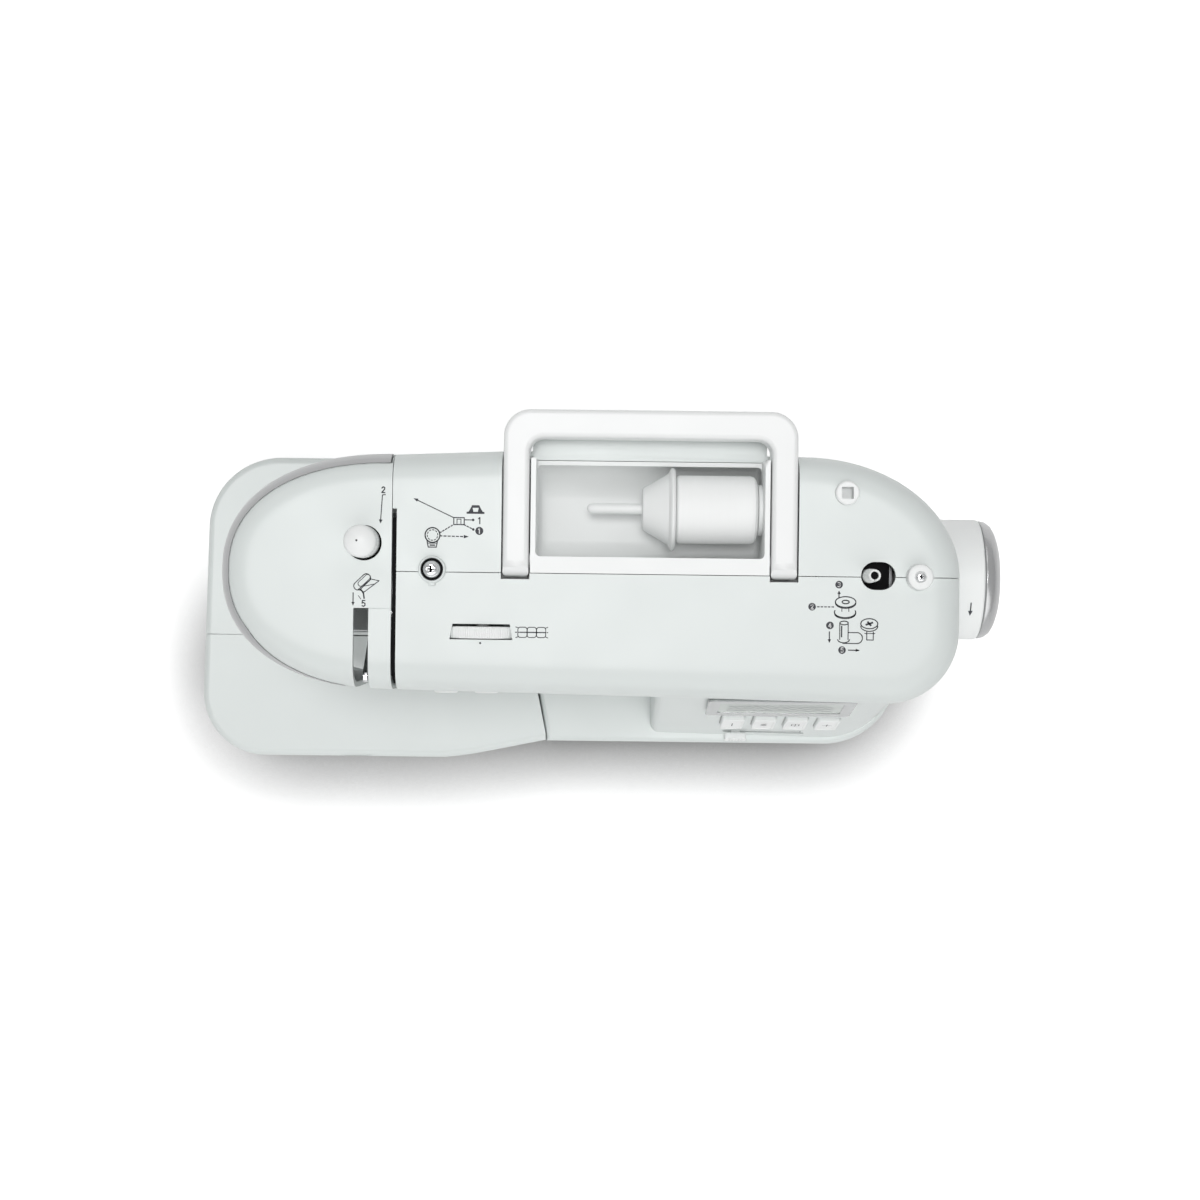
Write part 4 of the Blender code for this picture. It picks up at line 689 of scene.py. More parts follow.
WINDER = middle("winder_spindle")
SOCKET = middle("extra_pin_socket")
KNOB = middle("pressure_dial")
WELL_X = (handle_low.x - 0.7, handle_high.x + 0.7)
WELL_FRONT = handle_low.y - 0.4
KEY_Z = 118.0                      # height of the pattern keys' middles
DISPLAY_Z = 162.0
SLOT_BOTTOM = ARM_TOP - 119.0      # how far down the slots for thread and lever reach
DIAL_THICKNESS = 5.5
THROUGH_TOP = (ARM_TOP - 8, ARM_TOP + 4)    # heights between which a cut goes through the arm's top
KEYS = [f"pattern_key_{i + 1}" for i in range(4)]
PANEL_TILT = math.atan(LEAN)
SLIDER_Z = middle("speed_knob").z
SLIDER_SLOT = (85.0, 130.0)        # left and right end of the speed knob's slot


def winder_opening():
    """The slot for the winder's spindle, as a rounded bar."""
    radius = 6.45
    engage = 3.1
    outline = arc(WINDER.x + 2.4 + engage, WINDER.y, radius, radius, -90, 90, 24)
    outline += arc(WINDER.x + 2.4, WINDER.y, radius, radius, 90, 270, 24)
    return plate("winder_opening", "Z", outline, *THROUGH_TOP)


def tube_cutter(name, axis, centre, radius, low, high):
    return turned(name, axis, centre, ((radius, low), (radius, high)), 64, 0)


def rounded(half_u, half_v, corner, steps=8):
    """A rectangle with round corners about the origin."""
    u, v = half_u - corner, half_v - corner
    outline = []
    for side_u, side_v, start in ((1, 1, 0), (-1, 1, 90), (-1, -1, 180), (1, -1, 270)):
        outline += arc(side_u * u, side_v * v, corner, corner, start, start + 90, steps)
    return outline


def on_panel(obj, x, z):
    """Lays a piece made round the origin, with -Y outwards, on the column's leaning front."""
    obj.location = Vector((x, column_front(z), z)) * MM
    obj.rotation_euler = (-PANEL_TILT, 0, 0)
    return settle(obj)


def panel_plate(name, x, z, halves, outs, corner, edge=0.0):
    """A plate with round corners on the column's front; outs is its span out from the face."""
    shape = plate(name, "Y", rounded(*halves, corner), -outs[1], -outs[0], edge)
    return on_panel(shape, x, z)


def shared_openings():
    """Threading slot, free arm's mouth, hub hole and winder slot, cut from every cover."""
    thread_slot = box("threading_slot", (HEAD_X, HEAD_X + 2.1), (-60, 42), (SLOT_BOTTOM, FAR))
    mouth = box("arm_mouth", (BASE_LEFT - 2, BASE_LEFT + 8), (free_low.y + 2.2, free_high.y - 2.2),
                (free_low.z + 2.2, free_high.z - 2.2))
    hub = tube_cutter("hub_hole", "X", middle("handwheel"), 11, RIGHT_X - 8, RIGHT_X + 8)
    return [thread_slot, mouth, hub, winder_opening()]


def front_openings():
    dial_front = corners("tension_dial")[0].y
    x = middle("tension_dial").x + 0.2
    front, rear = dial_front - 0.5, dial_front + DIAL_THICKNESS + 1.2
    outline = [(x - 14.5, front), (x + 14.5, front), (x + 13.2, rear), (x - 13.2, rear)]
    openings = [plate("dial_slot", "Z", outline, *THROUGH_TOP)]
    for name in ("reverse_button", "start_button"):
        openings.append(tube_cutter(name + "_hole", "Y", middle(name), 6.4, ARM_FRONT - 4, ARM_FRONT + 12))
    for name in KEYS:
        openings.append(panel_plate(name + "_hole", middle(name).x, KEY_Z, (6.4, 13.5), (-5.5, 4), 1.6))
    slot_middle = sum(SLIDER_SLOT) / 2
    openings.append(panel_plate("slider_slot", slot_middle, SLIDER_Z, (slot_middle - SLIDER_SLOT[0], 2.4),
                                (-5.5, 4), 2.2))
    for name in ("power_switch", "power_inlet"):
        low, high = corners(name)
        openings.append(box(name + "_hole", (RIGHT_X - 8, RIGHT_X + 4), (low.y - 0.4, high.y + 0.4),
                            (low.z - 0.5, high.z + 0.5)))
    return openings


def arm_notches():
    """Notches in the front cover for the round ends of the handle's arms."""
    spans = ((WELL_X[0], TRAY_X[0] - 0.2), (TRAY_X[1] + 0.2, WELL_X[1]))
    return [box("arm_notch", span, (WELL_FRONT, FAR), (ARM_TOP - 22, FAR)) for span in spans]


def trim_band(name, margin=0.0):
    """The bright band along the head's rounded edge, running out at the front."""
    rings = []
    start, end, steps = 90.6 - margin * 2, 256.0 + margin * 2, 96
    for i in range(steps + 1):
        share = i / steps
        turn = start + (end - start) * share
        taper = min(1.0, (1 - share) * 2.6 + 0.28)
        ring = []
        for lift, span in ((0.32 + margin * 2, range(9)), (-0.9 - margin * 2, range(8, -1, -1))):
            for j in span:
                reach = 3 + 50 * taper * j / 8 + (j - 4) * margin * 0.25
                inset, drop = shoulder_point(reach, lift)
                ring.append((*head_point(turn, inset), ARM_TOP - drop))
        rings.append(ring)
    return loft(name, rings)


def shade(obj, angle=32.0):
    """Smooth shading up to an angle, with large faces leading."""
    choose(obj)
    bpy.ops.object.shade_smooth_by_angle(angle=math.radians(angle))
    return even(obj)


def add_painted_shade_liners():
    """Painted shade: black linings just under the threading slot, the take-up slot and the pressure knob.
    """
    liner = upper_body("slot_liner", 2.6, 0.0)
    cut(liner, upper_body("liner_inside", 5.0, 5.0))
    combine(liner, "INTERSECT", box("liner_share", (HEAD_X + 0.1, HEAD_X + 2.0), (-56, 38),
                                    (SLOT_BOTTOM + 1, FAR)))
    stand_for(shade(liner), PAINTED_SHADE, "black_plastic", "machine")
    floor = block("take_up_floor", (NEEDLE_X - 5, ARM_FRONT + 4, SLOT_BOTTOM - 2),
                  (NEEDLE_X + 5, -8, SLOT_BOTTOM + 1), 0.4)
    stand_for(floor, PAINTED_SHADE, "black_plastic", "machine")
    ring = turned("knob_floor", "Z", KNOB, ((3.4, ARM_TOP - 6), (9.4, ARM_TOP - 6), (9.4, ARM_TOP - 4.2),
                                            (3.4, ARM_TOP - 4.2)), 72, 0.2, hollow=True)
    stand_for(ring, PAINTED_SHADE, "black_plastic", "machine")


def make_covers():
    """Front, rear and face cover, parted from one hollow body."""
    body = whole_body()
    cut(body, *shared_openings())
    front = parted(body, "front_shell", (HEAD_X + SEAM_HALF, FAR), (-FAR, SEAM_Y - SEAM_HALF))
    rear = parted(body, "rear_shell", (HEAD_X + SEAM_HALF, FAR), (SEAM_Y + SEAM_HALF, FAR))
    face = combine(body, "INTERSECT", box("share", (-FAR, HEAD_X - SEAM_HALF), (-FAR, FAR), (-5, FAR)))
    cut(front, *arm_notches(), *front_openings())
    cut(rear, box("handle_well", WELL_X, (WELL_FRONT, FAR), (ARM_TOP - 22.5, FAR)),
        tube_cutter("socket_hole", "Z", SOCKET, 5.6, ARM_TOP - 9, ARM_TOP + 4))
    add(rear, box("handle_rest", (TRAY_X[0], TRAY_X[1]), (TRAY_Y[1] + 0.3, 79),
                  (ARM_TOP - 26.5, ARM_TOP - 22.8)))
    cut(face, box("take_up_slot", (NEEDLE_X - 3.5, NEEDLE_X + 3.5), (-FAR, -4), (SLOT_BOTTOM, FAR)),
        box("lever_notch", (NEEDLE_X - 7, NEEDLE_X + 11), (50, FAR), (0, HEAD_BOTTOM + 36)),
        tube_cutter("pressure_hole", "Z", KNOB + Vector((0.5, -0.45, 0)), 8.15, *THROUGH_TOP),
        trim_band("trim_groove", 0.22),
        box("face_seam", (NEEDLE_X + 3.0, FAR), (-4.3, -3.95), (ARM_TOP - 0.5, FAR)))
    for shell, name in ((front, "front_cover"), (rear, "rear_cover"), (face, "face_cover")):
        stand_for(shade(shell), BODY, "body_white", "machine", name)
    add_painted_shade_liners()
    trim = shade(trim_band("trim_band"))
    stand_for(trim, BAND, "silver_trim", "machine", "face_trim")


make_covers()


# ---------------------------------------------------------------- top of the arm

def lying(name, outline, xs, edge=0.0, segments=4):
    """An outline of (y, z) points extruded along X."""
    return plate(name, "X", outline, xs[0], xs[1], edge, segments)


def make_handle():
    """The carrying handle, folded back round the spool tray, with its sunk grip."""
    low, high = handle_low, handle_high
    bar, inner, outer = 13.0, 6.5, 12.4
    bottom = high.z - 2 * ARM_END
    inside = (low.x + HANDLE_WIDTH, high.x - HANDLE_WIDTH)
    rear = high.y
    pivot_y = low.y + ARM_END
    outline = [(low.x, low.y + 0.6), (inside[0], low.y + 0.6)]
    outline += arc(inside[0] + inner, rear - bar - inner, inner, inner, 180, 90, 12)
    outline += arc(inside[1] - inner, rear - bar - inner, inner, inner, 90, 0, 12)
    outline += [(inside[1], low.y + 0.6), (high.x, low.y + 0.6)]
    outline += arc(high.x - outer, rear - outer, outer, outer, 0, 90, 20)
    outline += arc(low.x + outer, rear - outer, outer, outer, 90, 180, 20)
    handle = plate("handle", "Z", outline, bottom, high.z, 2.4, 6)
    ends = [(pivot_y, bottom)] + arc(pivot_y, bottom + ARM_END, ARM_END, ARM_END, 270, 90, 40)[1:-1]
    keep = lying("side", ends + [(pivot_y, high.z + 1), (rear + 2, high.z + 1), (rear + 2, low.z - 1),
                                 (pivot_y + 4, low.z - 1), (pivot_y + 4, bottom - 0.01)],
                 (low.x - 1, high.x + 1))
    combine(handle, "INTERSECT", keep)
    grip = block("grip", (low.x + 9, rear - bar + 0.6, low.z), (high.x - 9, rear - 0.9, bottom + 5), 2.2, 5)
    trunnions = [turned("trunnion", "X", (0, pivot_y, bottom + ARM_END), ((2.9, a), (2.9, b)), 48, 0.3)
                 for a, b in ((low.x + 6, TRAY_X[0] + 1.4), (TRAY_X[1] - 1.4, high.x - 6))]
    add(handle, grip, *trunnions)
    stand_for(shade(handle), HANDLE_PAINTED_LIGHT, "body_white", "handle", "carrying_handle")


def make_tray():
    """The spool tray: a trough with a round front and rear, a front bar and a low rear rim."""
    left, right = TRAY_X
    front, rear_face = TRAY_Y
    wall = 2.0
    bar_rear = front + 7.6
    rim = ARM_TOP - 22.2
    inside = (left + wall + 0.3, right - wall - 0.3)
    outer = [(front, ARM_TOP - 22), (front, ARM_TOP), (rear_face, ARM_TOP), (rear_face, TRAY_FLOOR),
             (bar_rear - 2.2, TRAY_FLOOR), (bar_rear - 2.2, ARM_TOP - 22)]
    tray = lying("tray", outer, (left, right))
    floor = TRAY_FLOOR + wall
    deep = [(bar_rear, ARM_TOP + 5), (bar_rear, floor + 9)]
    deep += arc(bar_rear + 9, floor + 9, 9, 9, 180, 270, 14)[1:]
    rear = rear_face - wall
    deep += arc(rear - 15, floor + 19, 15, 19, 270, 360, 20)
    deep += [(rear, ARM_TOP + 5)]
    cut(tray, lying("trough", deep, inside, 2.2, 5))
    cut(tray, box("rear_rim", inside, (rear - 6, FAR), (rim, FAR)))
    for side, spans in (("left", (WELL_X[0] - 1.8, left + 1)), ("right", (right - 1, WELL_X[1] + 1.8))):
        add(tray, box("shelf_" + side, spans, (WELL_FRONT - 1.2, rear_face - 1), (rim - 3.2, rim - 1.2)))
    hole_y = handle_low.y + ARM_END
    holes = [tube_cutter("trunnion_hole", "X", (0, hole_y, ARM_TOP - 7), 3.2, a, b)
             for a, b in ((left - 1, inside[0] + 0.2), (inside[1] - 0.2, right + 1))]
    cut(tray, *holes)
    stand_for(shade(tray), TRAY_PAINTED_LIGHT, "body_white", "machine", "spool_tray")


def make_spool():
    """Spool pin with its end disc, the full spool and the cap that holds it."""
    spool = middle("thread_spool")
    low, high = corners("thread_spool")
    pin_low, pin_high = corners("spool_pin")
    cap_low, cap_high = corners("spool_cap")
    rim = (high.z - low.z) / 2
    pin = turned("pin", "X", spool, ((0.5, pin_low.x), (1.5, pin_low.x + 0.5), (2.2, pin_low.x + 1.5),
                                     (2.5, pin_low.x + 3.5), (2.6, high.x + 0.3), (12, high.x + 0.3),
                                     (12, pin_high.x)), 64, 0.25)
    stand_for(pin, SATIN, "body_white", "machine", "spool_pin")
    thread = turned("spool", "X", spool, ((3.1, low.x), (rim - 1.6, low.x), (rim - 0.3, low.x + 0.8),
                                          (rim, low.x + 2.2), (rim, high.x - 3.4),
                                          (rim - 0.5, high.x - 1.6), (rim - 1.8, high.x - 0.5),
                                          (rim - 3.6, high.x), (3.1, high.x)), 128, 0.35, hollow=True)
    stand_for(thread, THREAD, "thread", "thread_spool", "thread_spool")
    ring = (cap_high.z - cap_low.z) / 2
    face = cap_high.x
    cap = turned("cap", "X", spool, ((2.9, face), (ring - 0.9, face), (ring, face - 0.9),
                                     (ring, face - 1.6), (ring - 0.8, face - 2.5),
                                     (ring - 2.6, face - 3.2), (9.9, face - 15.0), (9.0, cap_low.x),
                                     (2.9, cap_low.x)), 128, 0.25, hollow=True)
    stand_for(cap, SATIN, "body_white", "spool_cap", "spool_cap")


def make_tension_dial():
    """The tension wheel: a flat disc with fine grip ribs round its rim."""
    low, high = corners("tension_dial")
    centre = Vector((middle("tension_dial").x, 0, (low.z + high.z) / 2))
    radius = (high.x - low.x) / 2
    ribs = 150
    outline = []
    for i in range(ribs * 4):
        turn = math.tau * i / (ribs * 4)
        reach = radius - (0.0, 0.12, 0.36, 0.12)[i % 4]
        outline.append((centre.x + reach * math.cos(turn), centre.z + reach * math.sin(turn)))
    rear = low.y + DIAL_THICKNESS
    disc = plate("dial", "Y", outline, low.y, rear)
    hub = turned("dial_hub", "Y", centre, ((3.0, rear - 1), (3.0, high.y)), 48, 0.2)
    rim = turned("dial_rim", "Y", centre, ((radius - 0.5, low.y - 0.01), (radius + 0.1, low.y + 0.5),
                                           (radius + 0.1, rear - 0.5), (radius - 0.5, rear + 0.01)), 160, 0)
    combine(disc, "INTERSECT", rim)
    add(disc, hub)
    stand_for(shade(disc), SATIN, "body_white", "tension_dial", "tension_dial")


def make_pressure_dial():
    """The presser-foot pressure knob with faint ribs round it and a dot in its crown."""
    low, high = corners("pressure_dial")
    centre = middle("pressure_dial")
    top = high.z - 5.0
    profile = ((3.0, low.z), (3.0, ARM_TOP - 3.8), (7.5, ARM_TOP - 3.8), (7.5, top - 1.8), (7.1, top - 0.7),
               (6.2, top + 0.1), (4.4, top + 0.9), (2.6, top + 1.4), (0.9, top + 1.6))
    body = turned("knob", "Z", centre, profile, 120, 0.18)
    grooves = []
    for i in range(30):
        turn = math.tau * i / 30
        place = Vector((centre.x + 7.62 * math.cos(turn), centre.y + 7.62 * math.sin(turn), 0))
        grooves.append(tube_cutter("rib", "Z", place, 0.28, ARM_TOP - 2, top - 1.2))
    cut(body, joined("ribs", grooves))
    stand_for(shade(body), SATIN, "body_white", "pressure_dial", "pressure_dial")
    dot = turned("knob_dot", "Z", centre + Vector((-1.2, 0.2, 0)), ((0.5, top + 1.3), (0.5, top + 1.66)),
                 32, 0.05)
    stand_for(dot, BLACK, "black_plastic", "pressure_dial")


def cross_screw(name, centre, radius, foot, height):
    """A raised screw head with a cross cut into it."""
    head = turned(name, "Z", centre, ((radius, foot), (radius, foot + height * 0.55),
                                      (radius * 0.82, foot + height * 0.9),
                                      (radius * 0.45, foot + height)), 64, 0.12)
    reaches = ((radius * 0.6, radius * 0.15), (radius * 0.15, radius * 0.6))
    for a, b in reaches:
        cut(head, box("cross", (centre.x - a, centre.x + a), (centre.y - b, centre.y + b),
                      (foot + height * 0.4, FAR)))
    # Black blocks in the cross's pits are painted shade.
    pit = [block("pit", (centre.x - a * 0.97, centre.y - b * 0.9, foot + height * 0.35),
                 (centre.x + a * 0.97, centre.y + b * 0.9, foot + height * 0.5), 0.03, 1)
           for a, b in reaches]
    stand_for(joined(name + "_pit", pit), PAINTED_SHADE, "black_plastic", "machine")
    return shade(head, 35)


def make_tension_post():
    """The bobbin-winding thread tension: guard ring, chromed disc and cross screw."""
    centre = middle("bobbin_tension_post")
    foot = ARM_TOP + 0.3
    guard = turned("tension_guard", "Z", centre, ((6.3, foot), (6.3, foot + 1.5), (5.9, foot + 2.1),
                                                  (5.3, foot + 2.1), (5.1, foot + 1.6), (5.1, foot)), 96,
                   0.15, hollow=True)
    tab = block("tension_tab", (centre.x - 1.6, centre.y - 7.6, foot),
                (centre.x + 1.6, centre.y - 5.7, foot + 1.5), 0.3, 3)
    stand_for(joined("tension_guard", [guard, tab]), BODY, "body_white", "machine")
    # The black foot plate and stud show as a dark ring between the disc and the guard: painted shade in the
    # gap.
    foot_plate = turned("tension_foot", "Z", centre,
                        ((5.05, foot), (5.05, foot + 1.9), (4.9, foot + 2.0), (2.0, foot + 2.0),
                         (2.0, foot + 6.2)), 72, 0.1)
    stand_for(foot_plate, PAINTED_SHADE, "black_plastic", "machine")
    disc = turned("tension_disc", "Z", centre, ((2.2, foot + 2.3), (4.25, foot + 2.3),
                                                (4.25, foot + 2.8), (3.6, foot + 5.4),
                                                (2.2, foot + 5.5)), 96, 0.12, hollow=True)
    stand_for(disc, CHROME, "steel", "machine", "bobbin_tension_disc")
    screw = cross_screw("tension_screw", centre, 3.4, foot + 6.2, 2.4)
    stand_for(screw, CHROME, "steel", "machine", "bobbin_tension_post")


def make_winder():
    """The bobbin winder's hollow spindle, and the stop with its cross screw."""
    low, high = corners("winder_spindle")
    centre = middle("winder_spindle")
    spindle = turned("spindle", "Z", centre, ((3.3, low.z), (3.3, low.z + 7), (3.0, high.z - 6),
                                              (2.75, high.z - 0.5), (2.5, high.z), (1.95, high.z),
                                              (1.8, high.z - 0.4), (1.7, low.z + 14)), 64, 0.1)
    # A black lining in the spindle's hollow top, as painted shade.
    bore = turned("spindle_bore", "Z", centre, ((1.72, low.z + 13.5), (1.72, high.z - 2.4)), 48, 0.1)
    stand_for(bore, PAINTED_SHADE, "black_plastic", "winder_spindle")
    spring = box("spindle_slit", (centre.x - 0.3, centre.x + 0.3), (centre.y - 5, centre.y - 1),
                 (low.z + 15, FAR))
    stand_for(shade(cut(spindle, spring)), SATIN, "body_white", "winder_spindle", "winder_spindle")
    stop = middle("bobbin_stop")
    foot = ARM_TOP + 0.3
    disc = turned("stop_disc", "Z", stop, ((6.0, foot), (6.0, foot + 4.4), (5.6, foot + 5.2),
                                           (4.9, foot + 5.6), (2.7, foot + 5.6), (2.5, foot + 4.6)), 96,
                  0.15)
    stand_for(disc, SATIN, "body_white", "machine", "bobbin_stop")
    screw = cross_screw("stop_screw", stop, 2.2, foot + 4.6, 1.4)
    stand_for(screw, CHROME, "steel", "machine")


def make_socket():
    """The socket for the extra spool pin: a round boss with a square hole."""
    centre = middle("extra_pin_socket")
    foot = ARM_TOP + 0.3
    low = corners("extra_pin_socket")[0].z
    boss = turned("socket", "Z", centre, ((5.0, low), (5.0, foot - 0.3), (5.3, foot), (5.6, foot + 0.5),
                                          (5.5, foot + 1.4), (4.8, foot + 2.0), (4.0, foot + 1.9)), 96,
                  0.12)
    cut(boss, block("pocket", (centre.x - 2.75, centre.y - 2.75, foot - 6),
                    (centre.x + 2.75, centre.y + 2.75, foot + 4), 0.4, 3))
    stand_for(shade(boss), SATIN, "soft_white", "machine", "extra_pin_socket")


for make in (make_handle, make_tray, make_spool, make_tension_dial, make_pressure_dial, make_tension_post,
             make_winder, make_socket):
    make()


# ---------------------------------------------------------------- handwheel and controls

OVERLAP = 0.35                     # share of its reach by which a printed stroke runs on at each end
PRINT_LIFT = 0.05                  # how far printing on the column's front stands off its plane


def make_handwheel():
    """The handwheel with its shallow hollow behind, and the brushed domed ring on its face."""
    low, high = corners("handwheel")
    ring_low, ring_high = corners("handwheel_ring")
    centre = middle("handwheel")
    radius = (high.z - low.z) / 2
    wheel = turned("wheel", "X", centre, ((5.3, low.x + 2.0), (9.4, low.x + 2.0), (9.4, low.x + 0.6),
                                          (24.5, low.x + 0.6), (24.5, low.x), (radius - 2.6, low.x),
                                          (radius - 0.7, low.x + 0.8), (radius, low.x + 2.6),
                                          (radius, high.x - 0.9), (radius - 0.5, high.x - 0.2),
                                          (radius - 1.2, high.x), (5.3, high.x)), 160, 0.25, hollow=True)
    stand_for(wheel, SATIN, "body_white", "handwheel", "handwheel")
    face = ring_high.x
    dome = ((2.0, high.x - 0.15), (radius - 1.4, high.x - 0.15), (radius - 0.5, ring_low.x + 0.5),
            (radius - 1.0, ring_low.x + 3.0), (radius - 2.6, face - 3.2), (radius - 5.2, face - 1.6),
            (radius - 8.6, face - 0.4), (radius - 11.4, face), (radius - 13.0, face - 0.5),
            (radius - 13.8, face - 1.8), (10.5, face - 2.2), (6.0, face - 2.4), (1.0, face - 2.4))
    ring = turned("wheel_ring", "X", centre, dome, 160, 0.25)
    stand_for(ring, WHEEL_BAND, "silver_trim", "handwheel", "handwheel_ring")


def make_display():
    """The stitch display: a grey bezel with the screen sunk in it."""
    low, high = corners("display_window")
    z = DISPLAY_Z
    x = (low.x + high.x) / 2
    half = (high.x - low.x) / 2
    bezel = panel_plate("bezel", x, z, (half, 20.0), (0.3, 1.5), 3.5, 0.35)
    cut(bezel, panel_plate("bezel_window", x, z + 1.0, (half - 6, 13.0), (1.1, 3), 1.6))
    stand_for(shade(bezel), SMOKE, "display_grey", "machine", "display_window")
    screen = panel_plate("screen", x, z + 1.0, (half - 6.3, 12.7), (1.12, 1.26), 1.5)
    stand_for(screen, SCREEN, "display_grey", "machine")


def stroke(a, b, width, reach):
    """The four corners of a printed stroke, which runs past its two points by a share of reach."""
    along = (b - a).normalized()
    side = Vector((-along.y, along.x)) * width / 2
    over = along * reach * OVERLAP
    return [a - over - side, b + over - side, b + over + side, a - over + side]


def flat_mesh(name, shapes, level):
    """Flat printed shapes facing up, all at one height."""
    mesh = bpy.data.meshes.new(name)
    points, faces = [], []
    for shape in shapes:
        faces.append(tuple(range(len(points), len(points) + len(shape))))
        points += [(p.x * MM, p.y * MM, level * MM) for p in shape]
    mesh.from_pydata(points, [], faces)
    obj = bpy.data.objects.new(name, mesh)
    bpy.context.scene.collection.objects.link(obj)
    return obj


def draw_strokes(name, strokes):
    """Printed marks round the origin; each stroke is (points, width)."""
    shapes = [stroke(Vector(a), Vector(b), width, width) for points, width in strokes
              for a, b in zip(points, points[1:]) if a != b]
    return flat_mesh(name, shapes, PRINT_LIFT)


def flat_on_panel(obj, x, z, out):
    """Lays marks drawn in the XY plane on the leaning front, at a distance out from it."""
    obj.rotation_euler = (math.pi / 2 - PANEL_TILT, 0, 0)
    away = Vector((0, -math.cos(PANEL_TILT), math.sin(PANEL_TILT))) * out
    obj.location = (Vector((x, column_front(z), z)) + away) * MM
    return settle(obj)


def zigzag(left, right, middle_y, height, count):
    step = (right - left) / count
    return [(left + step * i, middle_y + height * (0.5 if i % 2 else -0.5)) for i in range(count + 1)]


def stitch_marks(left, right, middle_y):
    """Stitch patterns: straight, narrow zigzag, wide zigzag and square steps."""
    dashes = [([(left + 3.2 * i, middle_y + 8), (left + 3.2 * i + 2, middle_y + 8)], 0.45)
              for i in range(int((right - left) / 3.2))]
    rows = [(zigzag(left, right, middle_y + 3.6, 2.2, 26), 0.4),
            (zigzag(left, right, middle_y - 1.4, 3.6, 16), 0.4)]
    steps = []
    for i in range(12):
        x = left + (right - left) * i / 12
        steps += [(x, middle_y - 7.4 + 1.3 * (i % 2)), (x, middle_y - 7.4 + 1.3 * ((i + 1) % 2))]
    steps.append((right, middle_y - 7.4))
    return dashes + rows + [(steps, 0.4)]


def key_icon(kind):
    """A small sewing symbol about 7 mm across for one key."""
    if kind == 0:
        return [([(0, 3 - 1.6 * i), (0, 2 - 1.6 * i)], 0.5) for i in range(5)]
    if kind == 1:
        return [([(1.5 * (-1) ** i, 3.2 - 1.3 * i) for i in range(6)], 0.45)]
    if kind == 2:
        return [([(-2, 2), (2, 2), (2, -2), (-2, -2), (-2, 2)], 0.45), ([(0, 3.4), (0, -3.4)], 0.4)]
    return [([(-2.4, 0), (2.4, 0)], 0.45), ([(0, 2.4), (0, -2.4)], 0.45)]


def make_keys():
    """Four pattern keys with a shallow dished face and a symbol each."""
    for i, name in enumerate(KEYS):
        x = middle(name).x
        key = panel_plate(name + "_cap", x, KEY_Z, (6.0, 13.0), (-3.5, 2.0), 1.5, 0.7)
        dish = panel_plate("dish", x, KEY_Z, (4.6, 11.4), (1.65, 4), 2.2, 0)
        stand_for(shade(cut(key, dish)), SATIN, "soft_white", name, name)
        icon = flat_on_panel(draw_strokes(name + "_mark", key_icon(i)), x, KEY_Z, 1.66)
        stand_for(icon, INK, "black_plastic", name)


def make_stitch_rows():
    """The rows of stitches shown on the display's screen."""
    marks = draw_strokes("display_stitches", stitch_marks(-27.0, 27.0, 0.5))
    place = flat_on_panel(marks, middle("display_window").x, DISPLAY_Z + 1.0, 1.27)
    stand_for(place, INK, "display_grey", "machine")


def make_slider():
    """The speed slider's knob with its grip ribs, and the scale printed over its slot."""
    low, high = corners("speed_knob")
    x = (low.x + high.x) / 2
    knob = panel_plate("slider_knob", x, SLIDER_Z, (6.0, 3.2), (0.4, 4.0), 1.2, 0.5)
    grooves = [panel_plate("grip", x + 1.6 * i, SLIDER_Z, (0.35, 5), (3.5, 6), 0.3)
               for i in (-2, -1, 0, 1, 2)]
    cut(knob, *grooves)
    add(knob, panel_plate("stem", x, SLIDER_Z, (2.5, 1.8), (-5.0, 1.0), 0.5))
    stand_for(shade(knob), SATIN, "soft_white", "speed_knob", "speed_knob")
    wedge = [([(-20, -0.2), (20, -0.2)], 0.4), ([(-20, 0.0), (20, 2.4)], 0.4),
             ([(20, -0.2), (20, 2.4)], 0.4)]
    middle_x = sum(SLIDER_SLOT) / 2
    scale = flat_on_panel(draw_strokes("speed_scale", wedge), middle_x, SLIDER_Z + 5.2, 0.02)
    stand_for(scale, INK, "black_plastic", "machine")


def make_buttons():
    """The reverse and start buttons in the arm's front, each dished with a symbol."""
    marks = {"reverse_button": [(arc(0, 0.4, 1.9, 1.9, 200, -40, 14), 0.5),
                                ([(-2.5, 1.4), (-1.8, -0.4), (-0.4, 0.9)], 0.5)],
             "start_button": [(arc(0, 0, 2.2, 2.2, 115, -235 + 65, 18), 0.5), ([(0, 0.6), (0, 2.8)], 0.5)]}
    for name, strokes in marks.items():
        low, high = corners(name)
        centre = middle(name)
        cap = turned(name + "_cap", "Y", centre, ((4.3, low.y + 0.75), (4.9, low.y + 0.2), (5.3, low.y),
                                                  (5.7, low.y + 0.3), (6.0, low.y + 1.1),
                                                  (6.0, high.y - 1.5), (8.0, high.y - 1.5),
                                                  (8.0, high.y)), 96, 0.12)
        stand_for(cap, SATIN, "soft_white", name, name)
        mark = draw_strokes(name + "_mark", strokes)
        mark.rotation_euler = (math.pi / 2, 0, 0)
        mark.location = Vector((centre.x, low.y + 0.7, centre.z)) * MM
        stand_for(settle(mark), INK, "black_plastic", name)


